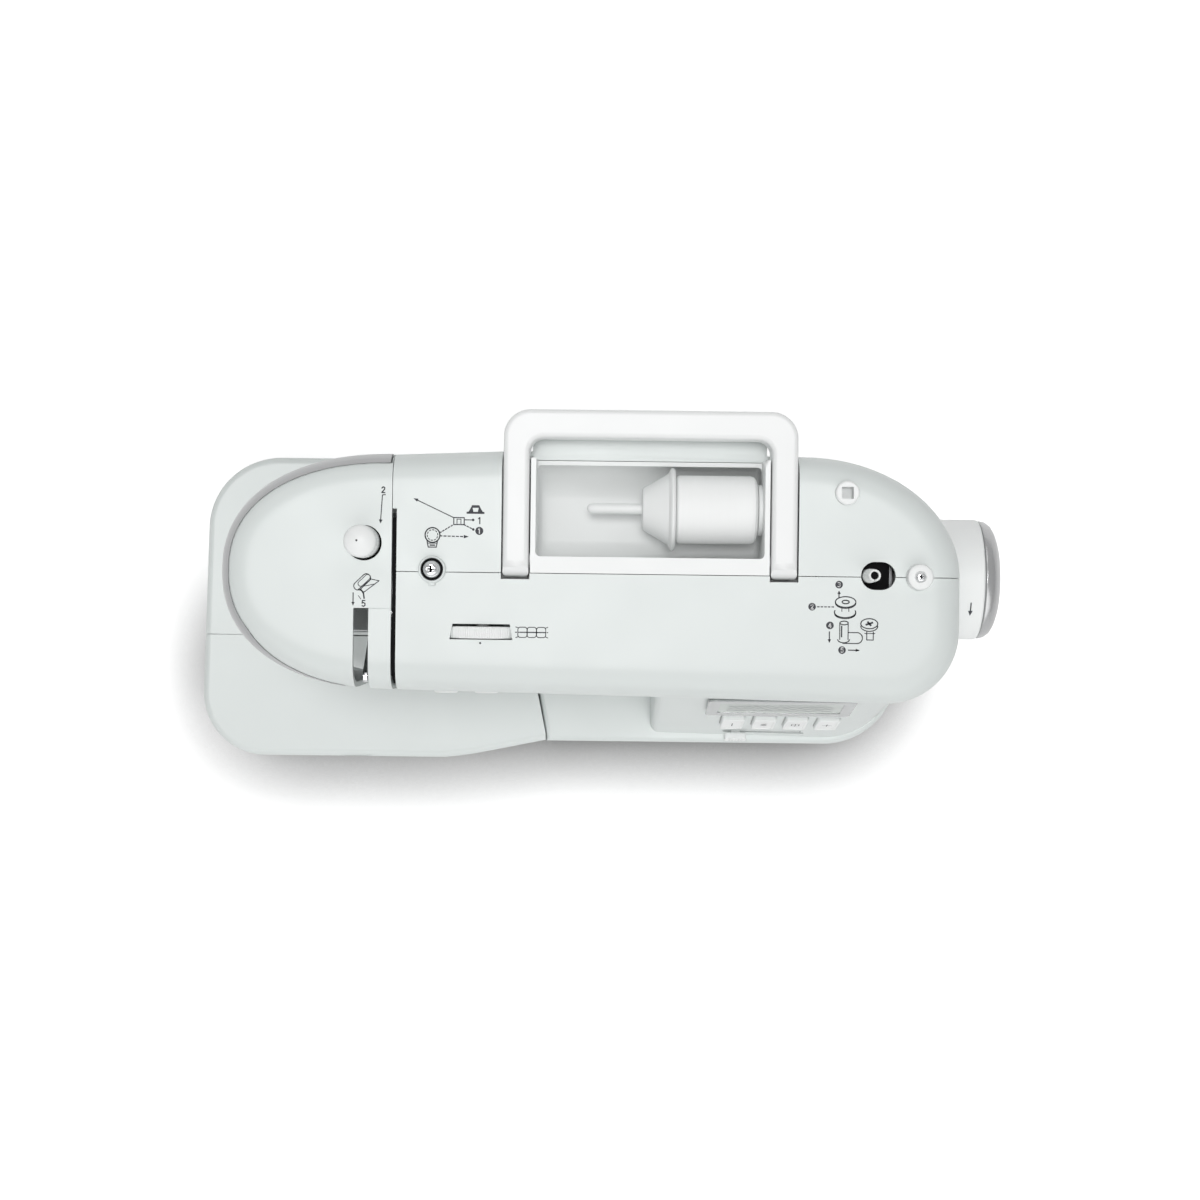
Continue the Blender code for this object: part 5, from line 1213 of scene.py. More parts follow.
def make_right_fittings():
    """The rocker power switch and the mains inlet with its two pins."""
    low, high = corners("power_switch")
    z = (low.z + high.z) / 2
    x = RIGHT_X
    rocker = plate("rocker", "Y", [(x - 3, low.z + 0.6), (x + 1.8, low.z), (x + 1.2, z - 3),
                                   (x + 0.9, z), (x + 1.5, z + 4), (x + 2.8, high.z),
                                   (x - 3, high.z - 0.6)], low.y, high.y, 0.3)
    stand_for(rocker, BLACK, "black_plastic", "power_switch", "power_switch")
    mid_y = (low.y + high.y) / 2
    line = block("on_mark", (x + 1.37, mid_y - 0.2, z - 7.2), (x + 1.70, mid_y + 0.2, z - 4.6), 0)
    stand_for(line, PALE_INK, "soft_white", "power_switch")
    low, high = corners("power_inlet")
    inlet = block("inlet", low, high, 0.4)
    cut(inlet, block("inlet_well", (low.x + 3, low.y + 3, low.z + 3),
                     (high.x + 3, high.y - 3, high.z - 3), 1.2, 4))
    middle_z = (low.z + high.z) / 2
    pins = [turned("pin", "X", (0, y, middle_z), ((1.2, low.x + 2.5), (1.2, high.x - 4.4),
                                                  (0.7, high.x - 3.8)), 32, 0.15)
            for y in (low.y + 7.6, high.y - 7.6)]
    stand_for(shade(inlet), BLACK, "black_plastic", "machine", "power_inlet")
    stand_for(joined("inlet_pins", pins), STEEL, "steel", "machine")


for make in (make_handwheel, make_display, make_keys, make_stitch_rows, make_slider, make_buttons,
             make_right_fittings):
    make()


# ---------------------------------------------------------------- bed, free arm and table

def bed_outline(inset, end=0.0):
    """The accessory table from above, whose right end can be moved along X."""
    seam = BASE_LEFT - SLIDE_GAP + end
    left, front = table_low.x, table_low.y
    corner = BED_CORNER - inset
    outline = arc(left + BED_CORNER, front + BED_CORNER, corner, corner, 180, 270, 28)
    outline += [(-70.0, front + inset), (-62.0, front + 0.9 + inset), (-54.0, front + 2.1 + inset),
                (-47.0, front + 3.5 + inset)]
    outline += [(seam + 5.0, BASE_FRONT + 0.3 + inset), (seam, SEAM_BEND_Y), (seam, BASE_REAR - inset)]
    outline += arc(left + 42.5, BASE_REAR - 40.0, 40.5 - inset, 40.0 - inset, 90, 180, 28)
    return outline


def bed_solid(name, inset, low, high, end=0.0):
    steps = [(low, inset + (0.0 if inset else 0.8))]
    if not inset:
        steps.append((low + 0.8, 0.0))
    for i in range(8):
        turn = math.radians(90 * i / 7)
        steps.append((high - 6 * (1 - math.sin(turn)), inset + 4 * (1 - math.cos(turn))))
    return loft(name, [at_height(bed_outline(extra, end), z) for z, extra in steps])


def make_table():
    """The slide-on accessory table: its tray round the free arm, and the front lid on its hinge."""
    lid_low, lid_high = corners("accessory_lid")
    split = lid_high.y
    channel_left, channel_rear = free_low.x - SLIDE_GAP, free_high.y + SLIDE_GAP
    bottom = corners("accessory_tray")[0].z
    wall = 2.0
    table = bed_solid("table", 0.0, bottom, BED_Z)
    inside = bed_solid("table_inside", wall, 0.0, BED_Z - wall)
    cut(inside, box("keep_channel", (channel_left - wall, FAR), (-FAR, channel_rear + wall), (-5, FAR)),
        box("keep_front", (-FAR, FAR), (-FAR, split + 0.3 + wall), (-5, FAR)))
    cut(table, box("channel", (channel_left, FAR), (split, channel_rear), (-5, FAR)),
        box("front", (-FAR, FAR), (-FAR, split + 0.3), (-5, FAR)), inside)
    seam = BASE_LEFT - SLIDE_GAP
    lid_left = table_low.x + wall + 1.0
    wall_top = BED_Z - wall - 0.3
    floor = loft("floor", [at_height(bed_outline(LID_FLOOR_INSET, -1.5), z)
                           for z in (bottom + 0.1, bottom + 2.3)])
    cut(floor, box("floor_rear", (-FAR, FAR), (split, FAR), (0, FAR)))
    add(table, floor, box("front_wall", (lid_left + 4, seam - 0.6), (split - wall, split),
                          (bottom, wall_top)), box("corner", (lid_left + 4.5, channel_left - 2),
                                                   (split - 2, split + 2.3),
                                                   (bottom + 0.2, wall_top - 0.5)),
        box("end_wall", (seam - 3, seam - 0.7), (BASE_FRONT + 4, split - 1), (bottom + 0.3, wall_top - 1)))
    stand_for(shade(table), BODY, "body_white", "accessory_table", "accessory_tray")
    lid = bed_solid("lid", 0.0, lid_low.z, BED_Z)
    cut(lid, bed_solid("lid_inside", wall, 0.0, BED_Z - wall, 12.0),
        box("lid_rear", (-FAR, FAR), (split, FAR), (0, FAR)))
    finger = turned("finger", "Y", Vector((-120, 0, BED_Z + 6)),
                    ((12, lid_low.y - 5), (12, lid_low.y + 1.2)), 96, 0)
    cut(lid, finger)
    stand_for(shade(lid), BODY, "body_white", "accessory_lid", "accessory_lid")


def make_free_arm():
    """The hollow free arm, open at its right end, with the well for the needle plate."""
    wall = 2.2
    plate_low, plate_high = corners("needle_plate")

    def ring(inset, z):
        corner = 14.0 - inset
        left, right = free_low.x + inset, free_high.x + inset * 4
        front, rear = free_low.y + inset, free_high.y - inset
        return at_height(arc(left + corner, front + corner, corner, corner, 180, 270, 16)
                         + [(right, front), (right, rear)]
                         + arc(left + corner, rear - corner, corner, corner, 90, 180, 16), z)

    top = [(inset, BED_Z - drop) for inset, drop in ((0, 1.4), (0.12, 0.8), (0.4, 0.35), (0.9, 0.08),
                                                     (1.4, 0))]
    arm = loft("arm", [ring(inset, z) for inset, z in [(0.8, free_low.z), (0, free_low.z + 0.8)] + top])
    cut(arm, loft("arm_inside", [ring(wall, free_low.z + wall), ring(wall, BED_Z - wall)]),
        box("plate_well", (plate_low.x - 0.3, plate_high.x + 0.3), (plate_low.y - 0.3, plate_high.y + 0.3),
            (BED_Z - 8, BED_Z + 4)))
    combine(arm, "INTERSECT", box("arm_limit", (-FAR, free_high.x), (-FAR, FAR), (0, FAR)))
    stand_for(shade(arm), BODY, "body_white", "machine", "free_arm")


def make_needle_plate():
    """The needle plate with feed slots, needle slot, seam guide lines and its clear bobbin cover."""
    low, high = corners("needle_plate")
    cover_low, cover_high = corners("bobbin_cover")
    dog_low, dog_high = corners("feed_dog")
    steel = block("plate_blank", low, high, 0.45, 3)
    cutters = [box("cover_gap", (cover_low.x - 0.3, cover_high.x + 0.3), (-FAR, cover_high.y + 0.3),
                   (low.z - 2, high.z + 2))]
    for x in (dog_low.x - 0.4, dog_high.x + 0.4 - 3.0):
        cutters.append(block("feed_slot", (x - 0.5, dog_low.y - 3.3, low.z - 2),
                             (x + 3.5, dog_high.y + 3.3, high.z + 2), 0))
    needle_hole = [(NEEDLE_X + u, NEEDLE_Y + v) for u, v in rounded(3.5, 1.1, 1.05)]
    cutters.append(plate("needle_slot", "Z", needle_hole, low.z - 2, high.z + 2))
    for i in range(6):
        x = NEEDLE_X + 16 + 3.2 * i
        if x < high.x - 2:
            cutters.append(box("seam_guide", (x - 0.12, x + 0.12), (NEEDLE_Y - 14, NEEDLE_Y + 18),
                               (high.z - 0.12, high.z + 1)))
    stand_for(shade(cut(steel, *cutters)), PLATE_STEEL, "steel", "machine", "needle_plate")
    screws = [cross_screw("plate_screw", Vector((x, high.y - 6, 0)), 2.9, high.z - 0.3, 0.75)
              for x in (low.x + 7, high.x - 7)]
    stand_for(joined("plate_screws", screws), STEEL, "steel", "machine")
    cover = block("cover_plate", cover_low, cover_high, 0.4, 3)
    cut(cover, tube_cutter("finger_dip", "Z", Vector(((cover_low.x + cover_high.x) / 2, cover_low.y + 1,
                                                      0)), 4.5, cover_high.z - 0.7, cover_high.z + 3))
    stand_for(shade(cover), CLEAR, "clear_plastic", "bobbin_cover", "bobbin_cover")


def make_needle_bar():
    """Needle bar, needle clamp with its thumb screw, and the needle with its eye."""
    low, high = corners("needle_bar")
    centre = middle("needle_bar")
    bar = turned("bar", "Z", centre, ((2.7, low.z), (3.2, low.z + 0.6), (3.2, high.z - 0.6),
                                      (2.6, high.z)), 64, 0.1)
    stand_for(bar, BAR_STEEL, "steel", "needle_bar", "needle_bar")
    clamp_low, clamp_high = corners("needle_clamp")
    clamp = turned("clamp", "Z", centre, ((2.2, clamp_low.z), (3.4, clamp_low.z + 0.3),
                                          (4.8, clamp_low.z + 3.2), (4.8, clamp_high.z - 0.4),
                                          (4.4, clamp_high.z)), 64, 0.15)
    z = clamp_high.z - 5.7
    screw = turned("thumb_screw", "X", (0, centre.y, z),
                   ((1.3, centre.x + 2), (1.3, clamp_high.x - 5.5), (1.8, clamp_high.x - 5.5),
                    (1.8, clamp_high.x - 0.3), (1.5, clamp_high.x)), 48, 0.1)
    add(clamp, screw)
    hook = turned("thread_guide", "Y", (centre.x, 0, clamp_low.z + 1.6),
                  ((0.45, centre.y - 5.6), (0.45, centre.y - 2)), 24, 0.1)
    add(clamp, hook)
    stand_for(shade(clamp), CHROME, "steel", "needle_bar", "needle_clamp")
    tip, top = corners("needle")
    shank = turned("needle_shank", "Z", centre, ((0.1, tip.z), (0.42, tip.z + 3.4), (0.5, tip.z + 6),
                                                 (0.5, top.z - 14), (1.0, top.z - 12), (1.0, top.z)), 32, 0)
    eye = turned("eye", "Y", (centre.x, 0, tip.z + 4.6), ((0.19, centre.y - 2), (0.19, centre.y + 2)),
                 20, 0)
    stand_for(shade(cut(shank, eye)), CHROME, "steel", "needle_bar", "needle")


def capsule(a, b, ra, rb):
    """Outline of a bar with round ends between two points, wider at one end."""
    steps = 20
    start, end = Vector(a), Vector(b)
    along = end - start
    heading = math.degrees(math.atan2(along.y, along.x))
    side = math.degrees(math.acos((ra - rb) / along.length))
    return (arc(start.x, start.y, ra, ra, heading + side, heading + 360 - side, steps)
            + arc(end.x, end.y, rb, rb, heading - side, heading + side, steps))


def make_take_up_lever():
    """The take-up lever: a polished flat bar with an eye at its end."""
    pin_end = corners("take_up_lever")[1].x
    pivot = (-6.0, ARM_TOP - 68.0)
    tip = (-36.0, ARM_TOP - 24.0)
    x = (NEEDLE_X - 1.2, NEEDLE_X + 1.2)
    bar = plate("take_up", "X", capsule(pivot, tip, 5.0, 3.0), x[0], x[1], 0.35, 3)
    eye = turned("eye", "X", (0, *tip), ((1.3, x[0] - 3), (1.3, x[1] + 3)), 40, 0)
    pin = turned("pin", "X", (0, *pivot), ((2.5, NEEDLE_X - 0.5), (2.5, pin_end)), 48, 0.2)
    add(cut(bar, eye), pin)
    stand_for(shade(bar), CHROME, "steel", "take_up_lever", "take_up_lever")


def make_presser():
    """Presser bar, the zigzag foot and its lever."""
    low, high = corners("presser_bar")
    centre = middle("presser_bar")
    bar = turned("presser", "Z", centre, ((2.6, low.z), (3.0, low.z + 0.5), (3.0, high.z - 0.5),
                                          (2.5, high.z)), 64, 0.1)
    stand_for(bar, BAR_STEEL, "steel", "presser_bar", "presser_bar")
    foot_low, foot_high = corners("presser_foot")
    sole_z = foot_low.z
    left, right, front, rear = foot_low.x, foot_high.x, foot_low.y, foot_high.y
    outline = [(left + 2.4, front), (right - 2.4, front), (right - 0.5, front + 1.2),
               (right, front + 3.2), (right, rear - 6), (right - 1.6, rear - 2), (right - 5, rear),
               (left + 5, rear), (left + 1.6, rear - 2), (left, rear - 6), (left, front + 3.2),
               (left + 0.5, front + 1.2)]
    sole = plate("sole", "Z", outline, sole_z, sole_z + 2.1, 0.3, 3)
    pivot = (centre.y - 2, BED_Z + 8)
    ankle = block("ankle", (NEEDLE_X - 4, pivot[0] - 3, sole_z + 1.5),
                  (NEEDLE_X + 4, pivot[0] + 3, BED_Z + 11), 0.5)
    pin = turned("foot_pin", "X", (0, *pivot), ((1.2, NEEDLE_X - 6.6), (1.2, NEEDLE_X + 6.6)), 32, 0.15)
    slot = [(NEEDLE_X + u, NEEDLE_Y + v) for u, v in rounded(3.6, 1.9, 1.8)]
    add(sole, ankle, pin)
    cut(sole, plate("foot_slot", "Z", slot, BED_Z, BED_Z + 8),
        box("toe_gap", (NEEDLE_X - 1.6, NEEDLE_X + 1.6), (-FAR, NEEDLE_Y), (BED_Z, BED_Z + 8)),
        *[box("toe_line", (x - 0.15, x + 0.15), (-FAR, front + 5), (sole_z + 1.9, BED_Z + 8)) for x in
          (NEEDLE_X - 6, NEEDLE_X + 6)])
    stand_for(shade(sole), CHROME, "steel", "presser_foot", "presser_foot")
    lever_low, lever_high = corners("presser_lever")
    pivot = (PRESSER_Y + 18, HEAD_BOTTOM + 12)
    tip = (pivot[0] + 14, pivot[1] - 33)
    lever = plate("lever", "X", capsule(pivot, tip, 4.5, 5.5), NEEDLE_X + 0.5, NEEDLE_X + 5.5, 1.0, 4)
    axle = turned("lever_axle", "X", (0, *pivot), ((2.0, lever_low.x), (2.0, lever_high.x)), 48, 0.2)
    stand_for(shade(add(lever, axle)), SATIN, "soft_white", "presser_lever", "presser_lever")


def make_feet():
    """Four rubber feet, each with a shallow hollow in its sole."""
    for i in range(1, 5):
        low, high = corners(f"foot_{i}")
        centre = middle(f"foot_{i}")
        radius = (high.x - low.x) / 2
        foot = turned(f"rubber_foot_{i}", "Z", centre,
                      ((3.0, 1.6), (4.2, 0.0), (radius - 1.6, 0.0), (radius - 0.5, 0.5), (radius, 1.6),
                       (radius, high.z)), 72, 0.2)
        stand_for(foot, RUBBER, "rubber", "machine", f"foot_{i}")


def make_lamp():
    """The lamp's clear lens under the head."""
    low, high = corners("lamp_lens")
    lens = block("lens", low, high, 0.6, 4)
    ribs = [box("rib", (low.x + 2.2 + 2.4 * i, low.x + 2.7 + 2.4 * i), (low.y + 1, high.y - 1),
                (low.z - 1, low.z + 0.25)) for i in range(int((high.x - low.x - 4) / 2.4))]
    stand_for(shade(cut(lens, *ribs)), CLEAR, "clear_plastic", "machine", "lamp_lens")


for make in (make_table, make_free_arm, make_needle_plate, make_needle_bar, make_take_up_lever,
             make_presser, make_feet, make_lamp):
    make()


# ---------------------------------------------------------------- printed threading guides

LINE = 0.42
WEIGHT = 1.25                      # share by which every printed line is thickened
DIGITS = {
    "1": [(-0.16, 0.3), (0.06, 0.5), (0.06, -0.5)],
    "2": [(-0.26, 0.26), (-0.16, 0.45), (0.04, 0.5), (0.24, 0.38), (0.22, 0.12), (-0.28, -0.5),
          (0.29, -0.5)],
    "3": [(-0.25, 0.4), (0, 0.5), (0.23, 0.38), (0.22, 0.12), (-0.02, 0.02), (0.24, -0.1), (0.25, -0.38),
          (0, -0.5), (-0.27, -0.38)],
    "4": [(0.12, -0.5), (0.12, 0.5), (-0.3, -0.18), (0.3, -0.18)],
    "5": [(0.25, 0.5), (-0.2, 0.5), (-0.24, 0.06), (0.02, 0.14), (0.25, -0.02), (0.25, -0.32),
          (0.02, -0.5), (-0.25, -0.38)],
}


class Marks:
    """Strokes and filled shapes of one printed guide, placed from its own origin."""

    def __init__(self, x, y):
        self.origin = Vector((x, y))
        self.shapes = []

    def fill(self, points):
        self.shapes.append([self.origin + Vector(p) for p in points])

    def line(self, *points, width=LINE):
        for a, b in zip(points, points[1:]):
            self.fill(stroke(Vector(a), Vector(b), width * WEIGHT, width))

    def loop(self, points, width=LINE):
        self.line(*points, points[0], width=width)

    def dashes(self, a, b, dash=1.0, gap=0.75, width=LINE):
        a, b = Vector(a), Vector(b)
        along = (b - a).normalized()
        done = 0.0
        while done < (b - a).length:
            end = min(done + dash, (b - a).length)
            self.line(a + along * done, a + along * end, width=width)
            done += dash + gap

    def head(self, tip, start, length=1.9, half=0.85):
        tip = Vector(tip)
        along = (tip - Vector(start)).normalized()
        side = Vector((-along.y, along.x)) * half
        self.fill([tip, tip - along * length + side, tip - along * length - side])

    def arrow(self, *points, width=LINE, **size):
        self.line(*points[:-1], Vector(points[-1]).lerp(Vector(points[-2]), 0.1), width=width)
        self.head(points[-1], points[-2], **size)

    def disc(self, centre, radius):
        self.fill(arc(*centre, radius, radius, 0, 360, 32)[:-1])

    def ring(self, centre, rx, ry, start=0, end=360, width=LINE):
        self.line(*arc(*centre, rx, ry, start, end, 36), width=width)

    def digit(self, figure, centre, height, width=LINE):
        self.line(*[(centre[0] + u * height, centre[1] + v * height) for u, v in DIGITS[figure]],
                  width=width)

    def finish(self, name, material, slot, body="machine", z=None, lift=0.04):
        """Makes the guide's flat piece, just above the arm's top or above a height given."""
        shapes = []
        for shape in self.shapes:
            area = sum(a.x * b.y - b.x * a.y for a, b in zip(shape, shape[1:] + shape[:1]))
            shapes.append(shape if area > 0 else shape[::-1])
        level = (ARM_TOP if z is None else z) + lift
        return stand_for(flat_mesh(name, shapes, level), material, slot, body)


def print_head_guides():
    """The step numbers and arrows on the head: thread slot, check spring and needle threading."""
    slot = Marks(-84.25, 50.5)
    slot.digit("2", (0, 0), 2.6)
    slot.arrow((0.95, -2.2), (-0.4, -2.4), (-1.2, -15.6), width=0.36)
    slot.finish("guide_slot", INK, "black_plastic")
    clip = Marks(-93.6, 8.3)
    tilt = [(0.72 * u - 0.69 * v, 0.69 * u + 0.72 * v) for u, v in rounded(4.6, 1.9, 1.88, 8)]
    clip.loop([(u + 0.1, v - 0.3) for u, v in tilt], 0.34)
    inner = [(0.72 * u - 0.69 * v + 1.0, 0.69 * u + 0.72 * v + 0.4) for u, v in rounded(3.4, 1.2, 1.18, 8)]
    clip.loop(inner, 0.26)
    clip.loop([(-1.6, -3.7), (1.0, -5.0), (7.9, 0.3), (4.2, 1.05)], 0.32)
    clip.line((1.2, -2.2), (5.9, -1.2), width=0.28)
    clip.arrow((-4.0, -5.3), (-4.0, -11.3), width=0.4, length=1.7, half=0.75)
    clip.line((-0.5, -3.7), (0.75, -5.6), (1.1, -7.9), width=0.55)
    clip.line((-1.6, -6.6), (-0.4, -8.2), width=0.26)
    clip.digit("5", (0.85, -10.2), 2.7)
    clip.finish("guide_check", INK, "black_plastic")


def print_thread_guides():
    """The guide from the spool past the thread guide, for sewing and for bobbin winding."""
    path = Marks(-49.3, 36.5)
    path.loop([(-2.4, -1.6), (2.4, -1.6), (2.4, 1.6), (-2.4, 1.6)], 0.4)
    path.line((-0.9, -1.2), (-0.9, 0.9), (0.9, 0.9), (0.9, -1.2), width=0.3)
    path.arrow((-2.4, 1.55), (-21.1, 10.3), width=0.36, length=2.2, half=0.75)
    path.line((2.3, 0.6), (6.5, 0.6), width=0.36)
    path.disc((6.5, 0.6), 0.6)
    path.digit("1", (9.4, 0.3), 2.9)
    path.dashes((2.3, -1.6), (6.5, -3.7), 0.9, 0.6)
    path.disc((6.6, -3.75), 0.6)
    path.disc((9.4, -4.4), 1.85)
    path.fill([(5.4, 6.2), (9.8, 6.2), (9.3, 7.4), (5.9, 7.4)])
    path.fill([(4.2, 4.2), (6.6, 4.2), (6.2, 6.2), (5.4, 6.2)])
    path.fill([(8.6, 4.2), (11.0, 4.2), (9.8, 6.2), (9.0, 6.2)])
    path.line((3.7, 3.9), (11.4, 3.9), width=0.75)
    path.ring((-12.1, -6.55), 3.4, 3.4, width=0.46)
    for i in range(10):
        path.ring((-12.1, -6.55), 2.4, 2.4, 36 * i, 36 * i + 20, width=0.3)
    path.line((-14.6, -9.2), (-14.0, -12.1), (-10.3, -12.1), (-9.8, -9.2), width=0.4)
    path.line((-14.3, -10.3), (-10.0, -10.3), width=0.3)
    path.line((-13.2, -11.2), (-11.0, -11.2), width=0.5)
    path.dashes((-8.8, -5.5), (-2.4, -1.6), 0.9, 0.6)
    path.dashes((-8.8, -6.9), (2.6, -7.1), 1.1, 0.8)
    path.head((4.6, -7.1), (0, -7.1), 2.3, 0.8)
    path.finish("guide_path", INK, "black_plastic")
    number = Marks(-49.3, 36.5)
    number.digit("1", (9.3, -4.4), 2.3, 0.36)
    number.finish("guide_path_number", PALE_INK, "soft_white", lift=0.08)


def print_tension_guides():
    """The stitch balance drawing beside the tension dial, and the dial's mark."""
    seam = Marks(-15.2, -14.3)
    for x in (-4.3, 0.0, 4.3):
        seam.loop([(x + u, v) for u, v in rounded(2.1, 2.35, 1.1, 5)], 0.3)
    seam.dashes((-7.6, 0), (-5.6, 0), 0.7, 0.5, 0.36)
    seam.line((-5.4, 0), (5.6, 0), width=0.42)
    seam.dashes((5.8, 0), (7.4, 0), 0.7, 0.5, 0.36)
    for y in (2.35, -2.35):
        for side in (-1, 1):
            seam.line((side * 6.2, y * 0.85), (side * 7.4, y * 1.05), width=0.28)
    seam.finish("guide_stitch", INK, "black_plastic")
    mark = Marks(-38.9, -19.5)
    mark.disc((0, 0), 0.5)
    mark.finish("dial_mark", INK, "black_plastic")


def print_winder_guides():
    """The numbered steps of bobbin winding beside the winder."""
    steps = Marks(128.9, -1.0)
    discs = {"3": (-3.0, 10.4), "2": (-15.3, 0.1), "4": (-7.0, -8.4), "5": (-1.3, -19.7)}
    for centre in discs.values():
        steps.disc(centre, 1.75)
    steps.arrow((-3.0, 4.4), (-3.0, 7.6), length=1.5, half=0.8)
    steps.ring((0.1, 2.45), 4.7, 2.45, width=0.4)
    steps.ring((0.1, 2.45), 1.6, 0.8, width=0.4)
    steps.ring((0.1, 1.95), 4.7, 2.45, 180, 360, 0.3)
    steps.ring((-0.1, -2.3), 4.9, 2.45, 160, 380, 0.4)
    steps.ring((-0.1, -2.8), 4.9, 2.45, 190, 350, 0.3)
    steps.line((-1.6, 0.0), (-1.6, -1.9), width=0.3)
    steps.line((1.6, 0.0), (1.6, -1.9), width=0.3)
    steps.dashes((-12.9, 0.1), (-4.8, 0.1), 0.9, 0.75)
    steps.arrow((-7.2, -11.3), (-7.2, -16.4), length=1.6, half=0.8)
    steps.ring((-0.5, -7.2), 1.9, 0.85, width=0.36)
    steps.line((-2.45, -7.4), (-2.45, -14.8), width=0.36)
    steps.line((1.4, -7.4), (1.4, -14.8), width=0.36)
    steps.line((-1.6, -8.6), (-1.6, -13.6), width=0.5)
    steps.ring((-0.65, -14.8), 2.7, 1.5, 180, 360, 0.36)
    steps.line((1.4, -11.6), (5.5, -11.6), width=0.36)
    steps.ring((5.5, -14.1), 2.5, 2.5, -90, 90, 0.36)
    steps.line((5.5, -16.6), (-1.0, -16.6), width=0.36)
    steps.ring((11.1, -7.4), 3.9, 2.3, width=0.38)
    steps.ring((11.1, -8.6), 3.9, 2.3, 180, 360, 0.34)
    steps.line((7.3, -7.6), (7.3, -8.8), width=0.3)
    steps.line((14.9, -7.6), (14.9, -8.8), width=0.3)
    steps.line((9.6, -7.9), (12.6, -6.9), width=0.7)
    steps.line((10.4, -6.6), (11.8, -8.2), width=0.7)
    steps.line((10.0, -11.2), (10.0, -14.9), (13.0, -14.9), (13.0, -11.2), width=0.36)
    steps.line((9.0, -11.9), (13.8, -11.9), width=0.3)
    steps.arrow((1.6, -19.7), (6.9, -19.7), length=1.9, half=0.7)
    steps.finish("guide_winding", INK, "black_plastic")
    numbers = Marks(128.9, -1.0)
    for figure, centre in discs.items():
        numbers.digit(figure, centre, 2.1, 0.34)
    numbers.finish("guide_winding_numbers", PALE_INK, "soft_white", lift=0.08)


def print_wheel_arrow():
    """The turning arrow on the handwheel's rim, wrapped round its curve."""
    low, high = corners("handwheel")
    centre = middle("handwheel")
    radius = (high.z - low.z) / 2
    arrow = Marks(191.2, -4.4)
    for step in range(5):
        arrow.line((0, 6.1 - step), (0, 5.1 - step), width=0.5)
    for step in range(5):
        near, far = 2.4 - 0.48 * step, 1.92 - 0.48 * step
        arrow.fill([(-near * 0.45, near), (-far * 0.45, far), (far * 0.45, far), (near * 0.45, near)])
    mark = arrow.finish("wheel_arrow", INK, "black_plastic", "handwheel", 0.0, 0.0)
    for vertex in mark.data.vertices:
        y = vertex.co.y / MM - centre.y
        vertex.co.z = (centre.z + math.sqrt((radius + 0.09) ** 2 - y * y)) * MM


for make in (print_head_guides, print_thread_guides, print_tension_guides, print_winder_guides,
             print_wheel_arrow):
    make()


# ---------------------------------------------------------------- carried-over nodes

def dress(material, *nodes):
    """Puts a material on nodes of the frame that are shown as they are."""
    for name in nodes:
        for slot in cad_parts[name].material_slots:
            slot.material = material


dress(CAST, "main_frame")
dress(MOTOR_BLACK, "motor")
dress(BELT, "drive_belt", "timing_belt")
dress(SHAFT_STEEL, "upper_shaft", "lower_shaft")
dress(PULLEY_STEEL, "motor_pulley")
dress(STEEL, "hook", "feed_dog", "foot_holder")
dress(BLACK, "bobbin_case")
# The winder's carriage inside the arm is put in the near-black as painted shade, seen through the winder's
# slot.
dress(PAINTED_SHADE, "winder_carriage")
dress(CLEAR, "bobbin")
dress(SATIN, "base_plate")


# ---------------------------------------------------------------- stage

FLOOR_GLOW = 0.34                  # what the floor adds to itself for the camera alone
DAYLIGHT = 0.25                    # even light from all round
OVERHEAD = 1.02                    # the main light, almost straight from above
OVERHEAD_SPREAD = 14.0
OVERHEAD_LEAN = (3.5, 1.0)         # degrees from upright, towards the rear and the left
SURROUND = 0.55                    # brightness of the surround in mirrors and clear pieces
FRONT_FILL = 1.35                  # the wide soft light from the front
CONTACT = 0.05                     # how far the object darkens the floor round it, in metres
SHADOW_Y = (0.045, -0.06)          # the floor's shadow grows from none to full between these places
SHADOW_DEPTH = 2.3
FLOOR_TONE = 0.93
FILL_SPREAD = 80.0                 # width of the front light in degrees
PANEL_SIZE = (1.1, 0.35)
PANEL_PLACE = (-0.05, 0.50, 0.70)
CAMERA_PLACE = (0.016, 0.001, 1.25)
CAMERA_TURN = 0.7                  # degrees round the upright
LENS, SENSOR = 63.0, 36.0          # millimetres
REAR_PANEL = 1.2                   # watts of the long soft panel behind and above


def make_floor():
    """A pale floor that keeps the machine's shadow from the lamps, with painted shadow added round its
    front from ambient occlusion.
    """
    deselect()
    bpy.ops.mesh.primitive_plane_add(size=12.0, location=(0, 0, 0))
    floor = bpy.context.object
    floor.name = "floor"
    material = bpy.data.materials.new("pale_floor")
    material.use_nodes = True
    tree = material.node_tree
    shader = tree.nodes["Principled BSDF"]
    # Painted shadow: ambient occlusion near the machine darkens the floor's colour and glow, more towards
    # the front.
    near = tree.nodes.new("ShaderNodeAmbientOcclusion")
    near.samples = 24
    near.inputs["Distance"].default_value = CONTACT
    parts = tree.nodes.new("ShaderNodeSeparateXYZ")
    tree.links.new(tree.nodes.new("ShaderNodeTexCoord").outputs["Object"], parts.inputs[0])
    front = tree.nodes.new("ShaderNodeMapRange")
    front.interpolation_type = "SMOOTHSTEP"
    front.inputs["From Min"].default_value = SHADOW_Y[0]
    front.inputs["From Max"].default_value = SHADOW_Y[1]
    tree.links.new(parts.outputs["Y"], front.inputs["Value"])
    open_share = maths(tree, "POWER", near.outputs["AO"],
                       maths(tree, "MULTIPLY", front.outputs["Result"], SHADOW_DEPTH))
    tree.links.new(maths(tree, "MULTIPLY", open_share, FLOOR_TONE), shader.inputs["Base Color"])
    shader.inputs["Roughness"].default_value = 0.9
    shader.inputs["Specular IOR Level"].default_value = 0.0
    shader.inputs["Emission Color"].default_value = (1, 1, 1, 1)
    seen = tree.nodes.new("ShaderNodeLightPath").outputs["Is Camera Ray"]
    glow = maths(tree, "MULTIPLY", maths(tree, "MULTIPLY", seen, open_share), FLOOR_GLOW)
    tree.links.new(glow, shader.inputs["Emission Strength"])
    floor.data.materials.append(material)


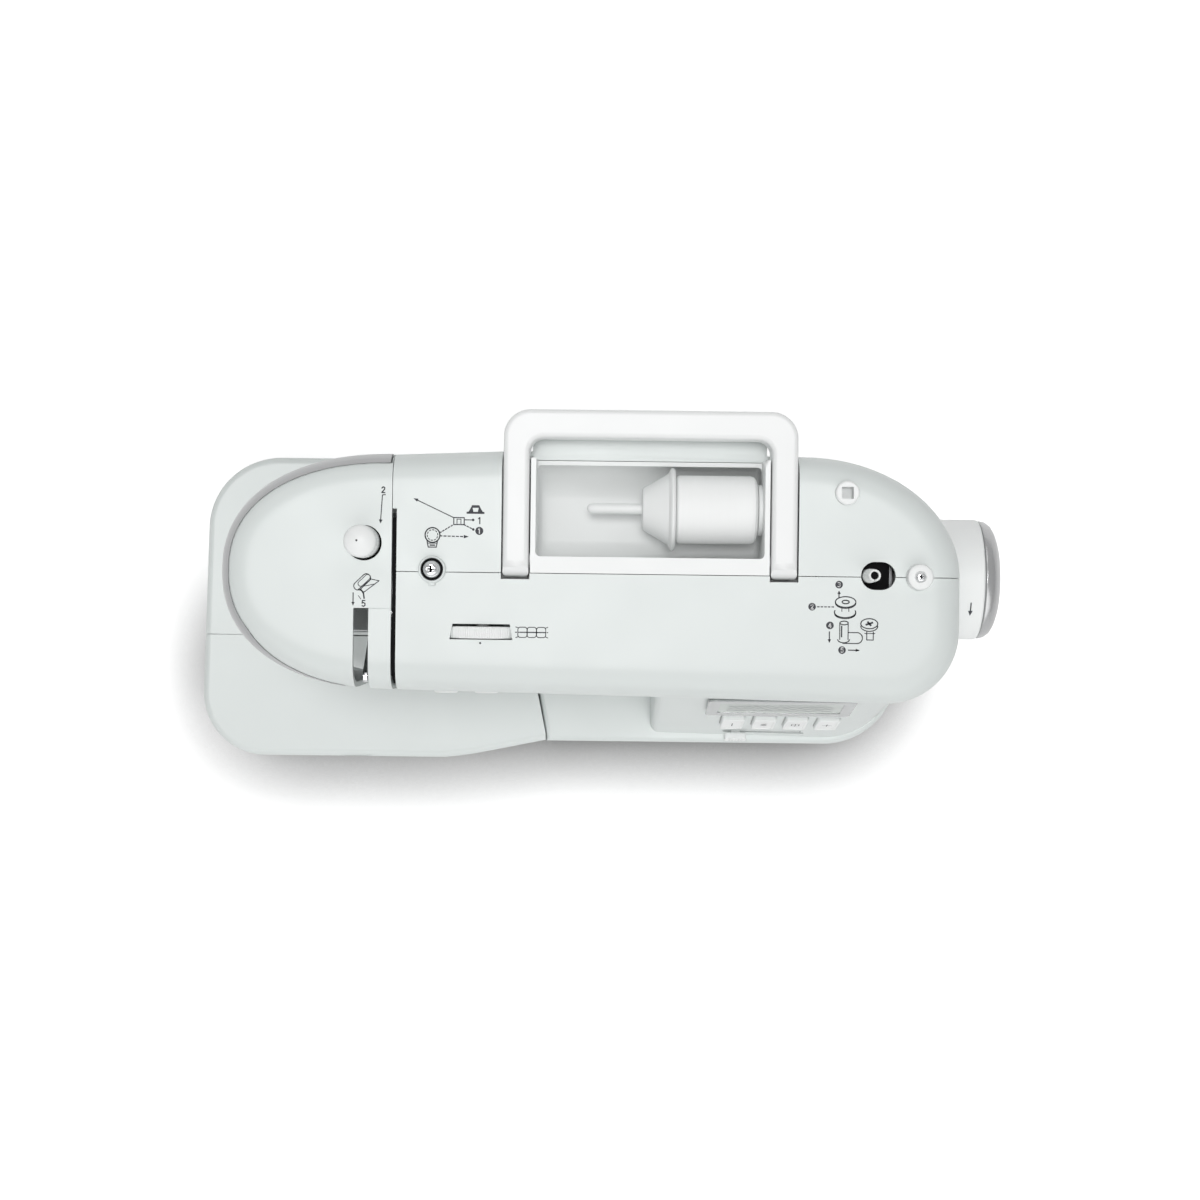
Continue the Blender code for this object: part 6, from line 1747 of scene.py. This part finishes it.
def place_lamp(name, lamp, place, aim):
    obj = bpy.data.objects.new(name, lamp)
    obj.location = place
    obj.rotation_euler = (Vector(aim) - Vector(place)).to_track_quat("-Z", "Y").to_euler()
    obj.visible_camera = False
    bpy.context.scene.collection.objects.link(obj)


def make_lights():
    """An even surround, soft lights from above and in front, and a long panel behind the machine."""
    world = bpy.data.worlds.new("studio")
    world.use_nodes = True
    tree = world.node_tree
    background = tree.nodes["Background"]
    background.inputs["Color"].default_value = (1, 1, 1, 1)
    path = tree.nodes.new("ShaderNodeLightPath")
    mirrored = maths(tree, "MAXIMUM", path.outputs["Is Glossy Ray"], path.outputs["Is Transmission Ray"])
    strength = maths(tree, "MAXIMUM", maths(tree, "MULTIPLY", mirrored, SURROUND), DAYLIGHT)
    strength = maths(tree, "MAXIMUM", path.outputs["Is Camera Ray"], strength)
    tree.links.new(strength, background.inputs["Strength"])
    bpy.context.scene.world = world
    overhead = bpy.data.lights.new("overhead", "SUN")
    overhead.energy = OVERHEAD
    overhead.angle = math.radians(OVERHEAD_SPREAD)
    rear, left = (math.tan(math.radians(lean)) for lean in OVERHEAD_LEAN)
    place_lamp("overhead", overhead, (-left, rear, 1.0), (0, 0, 0))
    fill = bpy.data.lights.new("front_fill", "SUN")
    fill.energy = FRONT_FILL
    fill.angle = math.radians(FILL_SPREAD)
    place_lamp("front_fill", fill, (0.1, -1.0, 0.8), (0, 0, 0))
    panel = bpy.data.lights.new("rear_panel", "AREA")
    panel.shape = "RECTANGLE"
    panel.size, panel.size_y = PANEL_SIZE
    panel.energy = REAR_PANEL
    place_lamp("rear_panel", panel, PANEL_PLACE, (0, 0, 0.25))


def make_camera():
    camera = bpy.data.cameras.new("camera")
    camera.lens = LENS
    camera.sensor_width = SENSOR
    obj = bpy.data.objects.new("camera", camera)
    obj.location = CAMERA_PLACE
    obj.rotation_euler = (0, 0, math.radians(CAMERA_TURN))
    bpy.context.scene.collection.objects.link(obj)
    bpy.context.scene.camera = obj


make_floor()
make_lights()
make_camera()
bpy.context.scene.view_settings.view_transform = "Standard"
